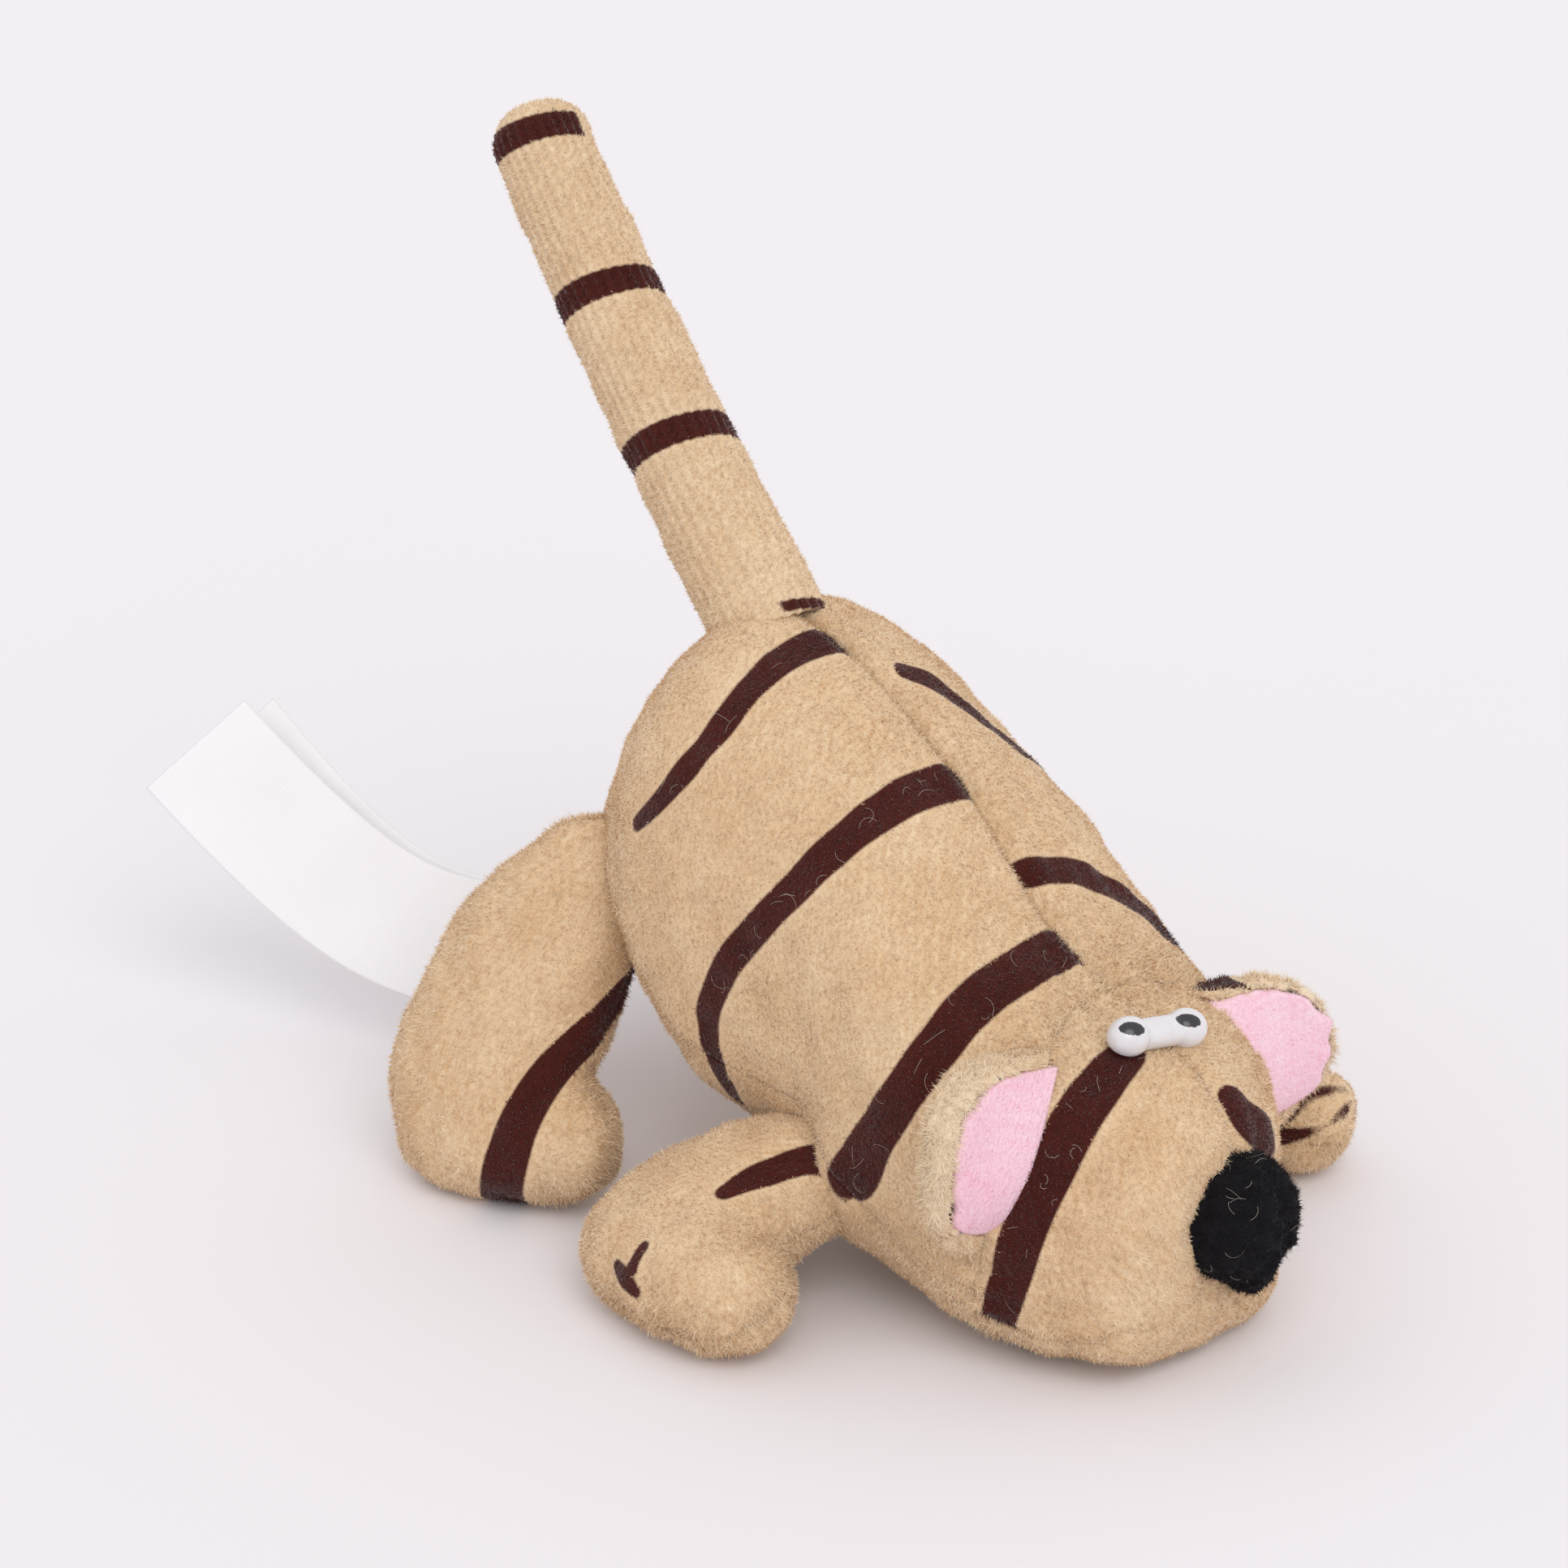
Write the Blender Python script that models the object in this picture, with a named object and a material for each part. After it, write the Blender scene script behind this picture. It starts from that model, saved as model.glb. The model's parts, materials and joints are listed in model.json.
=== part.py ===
"""Small stuffed tiger lying on its chest with its rump raised.

Metres, +Z up. The toy faces -Y, so a place forward of the rump has a negative y. Its left is +X.
Body and head are one bag cut by the neck seam. Every surface is a function of two numbers, the
share of the way along a piece and the angle round it, and cloth is that surface with a thickness.
"""
import math

import bmesh
import bpy
import numpy as np
from mathutils import Matrix, Vector, kdtree

# Cloth, seams and the gaps between pieces
cloth = 0.0011
clearance = 0.0003
swing_clearance = 0.0001
seam_gap = 0.0004
flat_depth = 0.0005

# The bag of body and head, rump to snout
bag_length = 0.1118
bag_height = 0.084
bag_width = 0.066
bag_lean = math.radians(3.8)
neck_share = 0.8157
side_seam = math.radians(115)
end_power = 0.3
upper_power = 0.92
station_shares = (0, 0.08, 0.17, 0.28, 0.42, 0.55, 0.68, 0.78, 0.87, 0.94, 1)
middle_shares = (0.54, 0.565, 0.573, 0.515, 0.495, 0.485, 0.375, 0.27, 0.21, 0.20, 0.25)
upper_shares = (0.36, 0.437, 0.50, 0.505, 0.418, 0.318, 0.275, 0.335, 0.39, 0.43, 0.40)
lower_shares = (0.24, 0.28, 0.33, 0.378, 0.375, 0.372, 0.392, 0.304, 0.268, 0.29, 0.50)
half_width_shares = (0.40, 0.452, 0.495, 0.49, 0.435, 0.43, 0.472, 0.488, 0.488, 0.52, 0.66)
lower_power_shares = (0.92, 0.92, 0.9, 0.88, 0.85, 0.78, 0.66, 0.58, 0.54, 0.53, 0.6)
rump_round_shares = (0.12, 0.32, 0.5, 0.66, 0.8)
snout_round_shares = (0.8, 0.7, 0.6, 0.48, 0.36, 0.24)
back_intervals = 8
belly_intervals = 6

# Legs: flat socks of two panels, laid out along their length and across it
sock_station_shares = (0, 0.12, 0.3, 0.5, 0.62, 0.72, 0.82, 0.92, 1)
sock_round_power = 0.22
sock_root_share = 0.12
sock_rows = 12
sock_intervals = 6
folded_front_length = 0.0385
folded_front_breadth = 0.0365
folded_front_thickness = 0.0185
folded_front_outer_shares = (
    (-0.08, 0.70), (-0.14, 0.60), (-0.26, 0.38), (-0.31, 0.12), (-0.27, -0.17),
    (-0.07, -0.31), (0.20, -0.32), (0.46, -0.31), (0.66, -0.27))
folded_front_inner_shares = (
    (0.30, 0.70), (0.34, 0.60), (0.37, 0.44), (0.39, 0.31), (0.41, 0.26),
    (0.46, 0.25), (0.53, 0.25), (0.62, 0.24), (0.70, 0.21))
reaching_front_length = 0.048
reaching_front_breadth = 0.020
reaching_front_thickness = 0.0176
reaching_front_outer_shares = (
    (-0.08, -0.36), (0.02, -0.44), (0.19, -0.56), (0.37, -0.60), (0.50, -0.56),
    (0.58, -0.52), (0.67, -0.48), (0.76, -0.46), (0.84, -0.42))
reaching_front_inner_shares = (
    (-0.08, 0.36), (0.0, 0.38), (0.17, 0.34), (0.33, 0.27), (0.44, 0.25),
    (0.52, 0.27), (0.62, 0.32), (0.75, 0.36), (0.84, 0.36))
hind_length = 0.0385
hind_breadth = 0.0565
hind_thickness = 0.0196
hind_outer_shares = (
    (0.08, 0.76), (0.03, 0.70), (-0.14, 0.53), (-0.26, 0.30), (-0.33, 0.06),
    (-0.20, -0.17), (0.08, -0.23), (0.38, -0.22), (0.60, -0.19))
hind_inner_shares = (
    (0.38, 0.76), (0.42, 0.70), (0.46, 0.54), (0.47, 0.34), (0.47, 0.21),
    (0.48, 0.17), (0.52, 0.168), (0.59, 0.16), (0.66, 0.13))
folded_front_turn = math.radians(10)
reaching_front_turn = math.radians(36)
hind_turn = math.radians(-20)
shoulder_share = 0.49
shoulder_angle = math.radians(132)
folded_front_swings = (math.radians(-15), math.radians(15))
reaching_front_swings = (math.radians(-15), math.radians(25))
hip_share = 0.07
hip_angle = math.radians(92)
hip_swings = (math.radians(-10), math.radians(30))
steepest_leg = math.radians(85)

# Tail
tail_length = 0.082
tail_root_radius = 0.0082
tail_tip_radius = 0.0068
tail_share = 0.15
tail_side_turn = math.radians(8)
tail_rise = math.radians(43)
tail_curl = math.radians(7)
tail_intervals = 12

# Ears
ear_base = 0.0236
ear_height = 0.0168
ear_cup = 0.0018
ear_lining = 0.0009
ear_rim = 0.0011
ear_share = 0.834
ear_angle = math.radians(63)

# Eyes: one moulding on a shank, held by a washer behind the cloth
eye_share = 0.866
eye_spread = 0.0042
eye_lobe_radius = 0.0028
eye_bridge_radius = 0.0019
eye_cut = 0.0012
shank_radius = 0.0012
washer_radius = 0.0034
washer_thickness = 0.001
washer_drop = 0.0006
shank_past_washer = 0.001

# Nose: a stuffed cap on the snout
nose_radius = 0.0081
nose_depth = 0.007
nose_rise = 0.0002

# Label: two layers of ribbon
label_length = 0.099
label_width = 0.020
label_thickness = 0.0004
label_end_spread = 0.0022
label_back_share = 0.97
label_pitch_shares = (-0.74, -0.62, -0.3, 0.06, 0.36, 0.47, 0.52)
label_roll_shares = (1, 0.85, 0.6, 0.42, 0.36, 0.35, 0.37)
label_turn_shares = (0, 0.65, 1, 1, 1, 1, 1)
label_turn = math.radians(30)
label_rows = 16

forward = np.array([0.0, -1.0, 0.0])
leftward = np.array([1.0, 0.0, 0.0])
upward = np.array([0.0, 0.0, 1.0])


def through(stations, values, at):
    """Smooth curve through values at the stations, read at the given places."""
    stations = np.asarray(stations, float)
    values = np.asarray(values, float)
    at = np.clip(at, stations[0], stations[-1])
    slope = np.gradient(values, stations)
    k = np.clip(np.searchsorted(stations, at, side="right") - 1, 0, len(stations) - 2)
    width = stations[k + 1] - stations[k]
    t = (at - stations[k]) / width
    return (
        (2 * t**3 - 3 * t**2 + 1) * values[k]
        + (t**3 - 2 * t**2 + t) * width * slope[k]
        + (3 * t**2 - 2 * t**3) * values[k + 1]
        + (t**3 - t**2) * width * slope[k + 1]
    )


def rounded_end_share(roundness):
    """Share of the bag's length where its section has swollen to this share of its size."""
    return (1 - math.sqrt(1 - roundness ** (1 / end_power))) / 2


def bag_form(share, angle):
    """The bag before it is laid down: angle 0 is the back seam, and the left side is at 90 degrees."""
    share, angle = np.broadcast_arrays(np.asarray(share, float), angle)
    swell = np.clip(4 * share * (1 - share), 0, 1) ** end_power
    cosine, sine = np.cos(angle), np.sin(angle)
    power = np.where(cosine > 0, upper_power,
                     through(station_shares, lower_power_shares, share))
    reach = np.where(cosine > 0, through(station_shares, upper_shares, share),
                     through(station_shares, lower_shares, share))
    aside = (bag_width * through(station_shares, half_width_shares, share) * swell
             * np.sign(sine) * np.abs(sine) ** power)
    above = bag_height * reach * swell * np.sign(cosine) * np.abs(cosine) ** power
    middle = bag_height * through(station_shares, middle_shares, share)
    return np.stack([
        aside * math.cos(bag_lean) + above * math.sin(bag_lean),
        -bag_length * share,
        middle - aside * math.sin(bag_lean) + above * math.cos(bag_lean)], -1)


def lay_down():
    """How far the bag is let down, so that the ground cuts it by the flat's depth."""
    share = np.linspace(0.01, 0.99, 99)[:, None]
    angle = np.linspace(0, 2 * math.pi, 73)[None, :]
    return bag_form(share, angle)[..., 2].min() + flat_depth


bag_drop = lay_down()


def bag_surface(share, angle):
    return bag_form(share, angle) - bag_drop * upward


def normals(surface, rows, columns):
    """Unit normals of a surface whose rows run along the piece and whose columns run round it."""
    step = 1e-5
    along = surface(rows + step, columns) - surface(rows - step, columns)
    around = surface(rows, columns + step) - surface(rows, columns - step)
    normal = np.cross(along, around)
    return normal / np.linalg.norm(normal, axis=-1, keepdims=True)


def layer(surface, rows, columns, inset, outward=1):
    """Points of the surface moved in by the inset, and flat where the ground cuts them."""
    points = surface(rows, columns) - outward * inset * normals(surface, rows, columns)
    height = points[..., 2]
    points[..., 2] = np.where(height < inset + flat_depth, inset, height)
    return points


def grid_quads(rows, columns, first, closed=False):
    """Quads of a grid of points numbered row by row from first."""
    quads = []
    for i in range(rows - 1):
        for j in range(columns if closed else columns - 1):
            k = (j + 1) % columns
            quads.append((first + i * columns + j, first + i * columns + k,
                          first + (i + 1) * columns + k, first + (i + 1) * columns + j))
    return quads


def add_mesh(name, points, faces, holder, material):
    """One closed body, its points given in the toy's frame and kept relative to its holder."""
    mesh = bpy.data.meshes.new(name)
    form = bmesh.new()
    offset = holder.matrix_world.translation
    corners = [form.verts.new(Vector(point) - offset) for point in points]
    for face in faces:
        form.faces.new([corners[k] for k in face])
    bmesh.ops.recalc_face_normals(form, faces=form.faces)
    form.to_mesh(mesh)
    form.free()
    mesh.shade_smooth()
    mesh.set_sharp_from_angle(angle=math.radians(50))
    mesh.materials.append(material)
    piece = bpy.data.objects.new(name, mesh)
    bpy.context.collection.objects.link(piece)
    piece.parent = holder
    return piece


def add_cloth(name, outer, inner, holder, material, closed=False, shut_end=False):
    """Cloth between two grids of points: open panels, or a sleeve with its last row shut."""
    rows, columns = outer.shape[:2]
    count = rows * columns
    points = np.concatenate([outer.reshape(-1, 3), inner.reshape(-1, 3)])
    faces = grid_quads(rows, columns, 0, closed) + grid_quads(rows, columns, count, closed)
    first = list(range(columns))
    last = list(range(count - columns, count))
    edges = [first] if shut_end else [first, last]
    for edge in edges:
        for j in range(columns if closed else columns - 1):
            a, b = edge[j], edge[(j + 1) % columns]
            faces.append((a, b, b + count, a + count))
    if shut_end:
        faces += [tuple(last), tuple(k + count for k in last)]
    if not closed:
        for j in (0, columns - 1):
            for i in range(rows - 1):
                a, b = i * columns + j, (i + 1) * columns + j
                faces.append((a, b, b + count, a + count))
    return add_mesh(name, points, faces, holder, material)


def add_filling(name, grid, holder, material):
    """A solid whose sides are a closed grid and whose first and last rows are flat ends."""
    rows, columns = grid.shape[:2]
    faces = grid_quads(rows, columns, 0, closed=True)
    faces += [tuple(range(columns)), tuple(range((rows - 1) * columns, rows * columns))]
    return add_mesh(name, grid.reshape(-1, 3), faces, holder, material)


def add_turned(name, profile, centre, axis, holder, material, sides=24):
    """A closed profile of (radius, height) points turned about an axis through the centre."""
    axis = Vector(axis).normalized()
    side = axis.orthogonal().normalized()
    other = axis.cross(side)
    points = []
    for k in range(sides):
        turn = 2 * math.pi * k / sides
        out = side * math.cos(turn) + other * math.sin(turn)
        points += [Vector(centre) + out * radius + axis * height for radius, height in profile]
    count = len(profile)
    faces = []
    for k in range(sides):
        for j in range(count):
            m = (j + 1) % count
            if profile[j][0] == 0 and profile[m][0] == 0:
                continue
            n = (k + 1) % sides
            faces.append((k * count + j, k * count + m, n * count + m, n * count + j))
    piece = add_mesh(name, points, faces, holder, material)
    form = bmesh.new()
    form.from_mesh(piece.data)
    bmesh.ops.remove_doubles(form, verts=form.verts, dist=clearance / 100)
    bmesh.ops.recalc_face_normals(form, faces=form.faces)
    form.to_mesh(piece.data)
    form.free()
    return piece


def add_pivot(name, place, holder):
    """An empty on a joint's axis, which carries the pieces that turn there."""
    pivot = bpy.data.objects.new(name, None)
    bpy.context.collection.objects.link(pivot)
    pivot.empty_display_size = clearance * 10
    pivot.parent = holder
    pivot.location = Vector(place) - holder.matrix_world.translation
    bpy.context.view_layer.update()
    return pivot


def make_material(name, colour, roughness):
    material = bpy.data.materials.new(name)
    material.use_nodes = True
    shader = material.node_tree.nodes["Principled BSDF"]
    shader.inputs["Base Color"].default_value = (*colour, 1)
    shader.inputs["Roughness"].default_value = roughness
    shader.inputs["Metallic"].default_value = 0
    return material


def make_materials():
    """Finishes by name, as linear colours."""
    return {
        "tan_pile": make_material("tan_pile", (0.70, 0.52, 0.27), 0.95),
        "pink_pile": make_material("pink_pile", (0.89, 0.47, 0.56), 0.95),
        "black_pile": make_material("black_pile", (0.012, 0.012, 0.014), 0.95),
        "filling": make_material("filling", (0.86, 0.85, 0.82), 0.9),
        "white_plastic": make_material("white_plastic", (0.88, 0.87, 0.86), 0.15),
        "washer_plastic": make_material("washer_plastic", (0.80, 0.80, 0.78), 0.4),
        "white_ribbon": make_material("white_ribbon", (0.90, 0.90, 0.92), 0.6),
    }


def seam_angle(rows):
    """Half the seam's gap as an angle at each row, where the section is smallest across."""
    swell = np.clip(4 * rows * (1 - rows), 0, 1) ** end_power
    least = np.minimum(bag_height * through(station_shares, lower_shares, rows),
                       bag_width * through(station_shares, half_width_shares, rows))
    return seam_gap / 2 / (least * swell)


def add_bag_part(names, rows, holder, materials):
    """Left and right upper panels, the lower panel and the filling of one stretch of the bag."""
    left_name, right_name, lower_name, filling_name = names
    rows = np.asarray(rows)[:, None]
    gap = seam_angle(rows)
    back = np.linspace(0, 1, back_intervals + 1)[None, :]
    belly = np.linspace(0, 1, belly_intervals + 1)[None, :]
    left = gap + (side_seam - 2 * gap) * back
    lower = side_seam + gap + (2 * (math.pi - side_seam) - 2 * gap) * belly
    for name, angles in ((left_name, left), (right_name, -left), (lower_name, lower)):
        add_cloth(name, layer(bag_surface, rows, angles, 0),
                  layer(bag_surface, rows, angles, cloth), holder, materials["tan_pile"])
    round_angles = np.concatenate([
        side_seam * back[0, :-1],
        side_seam + 2 * (math.pi - side_seam) * belly[0, :-1],
        -side_seam * back[0, :0:-1]])[None, :]
    return add_filling(filling_name, layer(bag_surface, rows, round_angles, cloth + clearance),
                       holder, materials["filling"])


def body_rows():
    ends = [rounded_end_share(roundness) for roundness in rump_round_shares]
    last = neck_share - seam_gap / 2 / bag_length
    spans = 8
    step = (last - ends[-1]) / spans
    return ends + [ends[-1] + step * (k + 1) for k in range(spans)]


def head_rows():
    ends = [1 - rounded_end_share(roundness) for roundness in snout_round_shares]
    first = neck_share + seam_gap / 2 / bag_length
    return [first, (first + ends[0]) / 2] + ends


def neck_axis():
    """The highest line of the neck seam, about which the head lifts."""
    angles = np.linspace(-math.pi / 4, math.pi / 4, 91)
    points = bag_surface(neck_share, angles)
    top = points[points[:, 2].argmax()]
    return np.array([0.0, top[1], top[2]])


def on_bag(share, angle, distance):
    """A point this far off the bag's surface, and the surface's normal there."""
    rows, columns = np.array([[share]]), np.array([[angle]])
    normal = normals(bag_surface, rows, columns)[0, 0]
    return bag_surface(rows, columns)[0, 0] + normal * distance, normal


def bag_tree():
    """The bag's surface as close points with their normals, to measure distances from."""
    ends = np.array([rounded_end_share(k / 20) for k in range(2, 16)])
    share = np.concatenate([ends, np.linspace(ends[-1], 1 - ends[-1], 130)[1:-1], 1 - ends[::-1]])
    angle = np.linspace(0, 2 * math.pi, 181)[None, :-1]
    points = bag_surface(share[:, None], angle).reshape(-1, 3)
    outward = normals(bag_surface, share[:, None], angle).reshape(-1, 3)
    tree = kdtree.KDTree(len(points))
    for k, point in enumerate(points):
        tree.insert(point, k)
    tree.balance()
    return tree, outward


def least_distance(points, tree, outward):
    """The least distance of the points from the bag, negative inside it."""
    found = math.inf
    for point in points.reshape(-1, 3):
        nearest, k, _ = tree.find(point)
        found = min(found, float((point - np.array(nearest)) @ outward[k]))
    return found


def turned(points, pivot, axis, angle):
    """Points turned about an axis through the pivot."""
    matrix = np.array(Matrix.Rotation(angle, 3, Vector(axis)))
    return (points - pivot) @ matrix.T + pivot


def sock_surface(limb, root, tilt):
    """Surface of a sock laid in a tilted plane, its root's middle at the given point."""
    side = limb["side"]
    heading = forward * math.cos(limb["turn"]) + leftward * side * math.sin(limb["turn"])
    inward = -leftward * side * math.cos(limb["turn"]) + forward * math.sin(limb["turn"])
    if limb["pitched"]:
        along = heading * math.cos(tilt) - upward * math.sin(tilt)
        across = inward
        out = upward * math.cos(tilt) + heading * math.sin(tilt)
    else:
        along = heading
        across = inward * math.cos(tilt) + upward * math.sin(tilt)
        out = upward * math.cos(tilt) - inward * math.sin(tilt)
    outer = np.array(limb["outer_shares"]) * (limb["length"], limb["breadth"])
    inner = np.array(limb["inner_shares"]) * (limb["length"], limb["breadth"])

    def edge(table, rows, axis):
        return through(sock_station_shares, table[:, axis], rows)

    def middle(rows):
        u = (edge(outer, rows, 0) + edge(inner, rows, 0)) / 2
        v = (edge(outer, rows, 1) + edge(inner, rows, 1)) / 2
        return u[..., None] * along + v[..., None] * across

    start = middle(np.array([sock_root_share]))[0]

    def surface(rows, angles):
        rows, angles = np.broadcast_arrays(np.asarray(rows, float), angles)
        swell = np.clip(4 * rows * (1 - rows), 0, 1) ** sock_round_power
        u = (edge(outer, rows, 0) - edge(inner, rows, 0)) / 2 * swell * np.cos(angles)
        v = (edge(outer, rows, 1) - edge(inner, rows, 1)) / 2 * swell * np.cos(angles)
        rise = limb["thickness"] / 2 * swell * np.sin(angles)
        return (root - start + middle(rows) + u[..., None] * along + v[..., None] * across
                + rise[..., None] * out)

    return surface


def sock_row_shares():
    """Rows closer together at the rounded ends."""
    turn = np.linspace(0, 1, sock_rows)
    return (1 - np.cos(math.pi * (0.04 + 0.92 * turn))) / 2


def let_down(limb, root):
    """The sock tilted until the ground cuts it by the flat's depth."""
    rows = np.linspace(0.02, 0.98, 49)[:, None]
    angles = np.linspace(0, 2 * math.pi, 48)[None, :]
    low, high = 0.0, steepest_leg
    for _ in range(30):
        tilt = (low + high) / 2
        lowest = sock_surface(limb, root, tilt)(rows, angles)[..., 2].min()
        if lowest > -flat_depth:
            low = tilt
        else:
            high = tilt
    return sock_surface(limb, root, tilt)


def seat_limb(limb, tree, outward):
    """The sock's surface and its root, clear of the bag over the whole swing."""
    distance = limb["thickness"] / 2
    rows = sock_row_shares()[:, None]
    angles = np.linspace(0, 2 * math.pi, 4 * sock_intervals + 1)[None, :-1]
    for _ in range(5):
        root, normal = on_bag(limb["root_share"], limb["side"] * limb["root_angle"], distance)
        surface = let_down(limb, root)
        points = surface(rows, angles)
        rest = least_distance(points, tree, outward) - clearance
        swung = min(least_distance(turned(points, root, limb["axis"], swing), tree, outward)
                    for swing in np.linspace(*limb["swings"], 5)) - swing_clearance
        distance -= min(rest, swung)
    return surface, root


def add_limb(name, limb, holder, materials, tree, outward):
    surface, root = seat_limb(limb, tree, outward)
    pivot = add_pivot(name + "_pivot", root, holder)
    rows = sock_row_shares()[:, None]
    share = np.linspace(0, 1, sock_intervals + 1)[None, :]
    swell = np.clip(4 * rows * (1 - rows), 0, 1) ** sock_round_power
    gap = seam_gap / 2 / (limb["thickness"] / 2 * swell)
    half = gap + (math.pi - 2 * gap) * share
    test = surface(rows, share * math.pi)
    away = test - surface(rows, share * math.pi + math.pi)
    sign = 1 if (normals(surface, rows, share * math.pi) * away).sum() > 0 else -1
    for piece, angles in (("_upper", half), ("_sole", half + math.pi)):
        add_cloth(name + piece, layer(surface, rows, angles, 0, sign),
                  layer(surface, rows, angles, cloth, sign), pivot, materials["tan_pile"])
    whole = np.concatenate([math.pi * share[0, :-1], math.pi + math.pi * share[0, :-1]])[None, :]
    add_filling(name + "_filling", layer(surface, rows, whole, cloth + clearance, sign),
                pivot, materials["filling"])


def limbs():
    """Each leg's sock, where it is sewn on and how it swings."""
    front = {"root_share": shoulder_share, "root_angle": shoulder_angle, "axis": (0, 0, 1)}
    hind = {"root_share": hip_share, "root_angle": hip_angle, "axis": (1, 0, 0),
            "length": hind_length, "breadth": hind_breadth, "thickness": hind_thickness,
            "outer_shares": hind_outer_shares, "inner_shares": hind_inner_shares,
            "turn": hind_turn, "pitched": False, "swings": hip_swings}
    return {
        "front_leg_right": {
            **front, "side": -1, "length": folded_front_length, "breadth": folded_front_breadth,
            "thickness": folded_front_thickness, "outer_shares": folded_front_outer_shares,
            "inner_shares": folded_front_inner_shares, "turn": folded_front_turn,
            "pitched": False, "swings": folded_front_swings},
        "front_leg_left": {
            **front, "side": 1, "length": reaching_front_length,
            "breadth": reaching_front_breadth, "thickness": reaching_front_thickness,
            "outer_shares": reaching_front_outer_shares,
            "inner_shares": reaching_front_inner_shares, "turn": reaching_front_turn,
            "pitched": True, "swings": reaching_front_swings},
        "hind_leg_right": {**hind, "side": -1},
        "hind_leg_left": {**hind, "side": 1},
    }


def tail_surface(root):
    """A tube from a ball at the root to a rounded tip, its path bending a little upwards."""
    count = 200
    length = np.linspace(0, tail_length, count)
    rise = tail_rise + tail_curl * (length / tail_length) ** 2
    level = -forward * math.cos(tail_side_turn) + leftward * math.sin(tail_side_turn)
    ahead = np.cos(rise)[:, None] * level + np.sin(rise)[:, None] * upward
    path = np.cumsum(ahead, axis=0) * tail_length / (count - 1)
    path += root - path[np.searchsorted(length, tail_root_radius)]
    across = np.cross(ahead, upward)
    across /= np.linalg.norm(across, axis=1, keepdims=True)
    over = np.cross(across, ahead)

    def surface(rows, angles):
        rows, angles = np.broadcast_arrays(np.asarray(rows, float), angles)
        place = rows * tail_length

        def read(table):
            return np.stack([np.interp(place, length, table[:, k]) for k in range(3)], -1)

        plain = tail_root_radius + (tail_tip_radius - tail_root_radius) * rows
        start = np.clip(place / tail_root_radius, 0, 1)
        end = np.clip((tail_length - place) / tail_tip_radius, 0, 1)
        radius = plain * np.sqrt(1 - (1 - start) ** 2) * np.sqrt(1 - (1 - end) ** 2)
        return read(path) + radius[..., None] * (
            np.cos(angles)[..., None] * read(over) + np.sin(angles)[..., None] * read(across))

    return surface


def add_tail(holder, materials):
    root, _ = on_bag(tail_share, 0, tail_root_radius + clearance)
    pivot = add_pivot("tail_pivot", root, holder)
    surface = tail_surface(root)
    round_start = [1 - math.cos(math.radians(k)) for k in (15, 38, 62)]
    straight = 8
    rows = [tail_root_radius * share / tail_length for share in round_start]
    first = tail_root_radius / tail_length
    last = 1 - tail_tip_radius / tail_length
    rows += [first + (last - first) * k / straight for k in range(straight + 1)]
    rows += [1 - tail_tip_radius * share / tail_length for share in round_start[::-1]]
    rows = np.array(rows)[:, None]
    angles = (2 * math.pi * np.arange(tail_intervals) / tail_intervals)[None, :]
    probe = surface(rows, angles) - surface(rows, angles + math.pi)
    sign = 1 if (normals(surface, rows, angles) * probe).sum() > 0 else -1
    add_cloth("tail_cover", layer(surface, rows, angles, 0, sign),
              layer(surface, rows, angles, cloth, sign), pivot, materials["tan_pile"],
              closed=True, shut_end=True)
    add_filling("tail_filling", layer(surface, rows[:-1], angles, cloth + clearance, sign),
                pivot, materials["filling"])


def ear_grid(base, side, out, front, shrink, offset):
    """A cupped half-round panel, this far in front of the ear's middle plane."""
    across = np.linspace(-1, 1, 9)[None, :]
    up = np.array([0, 0.2, 0.42, 0.62, 0.8, 0.93])[:, None]
    height = ear_height - shrink
    half = (ear_base / 2 - shrink) * (1 - up**2.6) ** 0.5
    rise = height * up
    bend = ear_cup * (across**2 * 0.6 + up**2 * 0.4) * up
    stack = np.broadcast_arrays(half * across, rise, bend + offset)
    return (base + stack[0][..., None] * side + stack[1][..., None] * out
            + stack[2][..., None] * front)


def add_ear(name, side, holder, materials):
    """Two panels on a straight line that touches the head's section, tan behind and pink in front."""
    whole = cloth + clearance + ear_lining
    foot = cloth / 2
    reach = math.hypot(whole / 2, foot)
    axis_point, normal = on_bag(ear_share, side * ear_angle, clearance + reach)
    step = 1e-4
    tangent = (bag_surface(ear_share, side * ear_angle + step)
               - bag_surface(ear_share, side * ear_angle - step))
    tangent /= np.linalg.norm(tangent)
    out = normal - forward * (normal @ forward)
    out -= tangent * (out @ tangent)
    out /= np.linalg.norm(out)
    pivot = add_pivot(name + "_pivot", axis_point, holder)
    base = axis_point - out * foot
    back = -whole / 2
    for piece, shrink, start, thick, finish in (
            ("_back", 0, back, cloth, "tan_pile"),
            ("_lining", ear_rim, back + cloth + clearance, ear_lining, "pink_pile")):
        add_cloth(name + piece,
                  ear_grid(base, tangent, out, forward, shrink, start + thick),
                  ear_grid(base, tangent, out, forward, shrink, start),
                  pivot, materials[finish])
    return tangent


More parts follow.
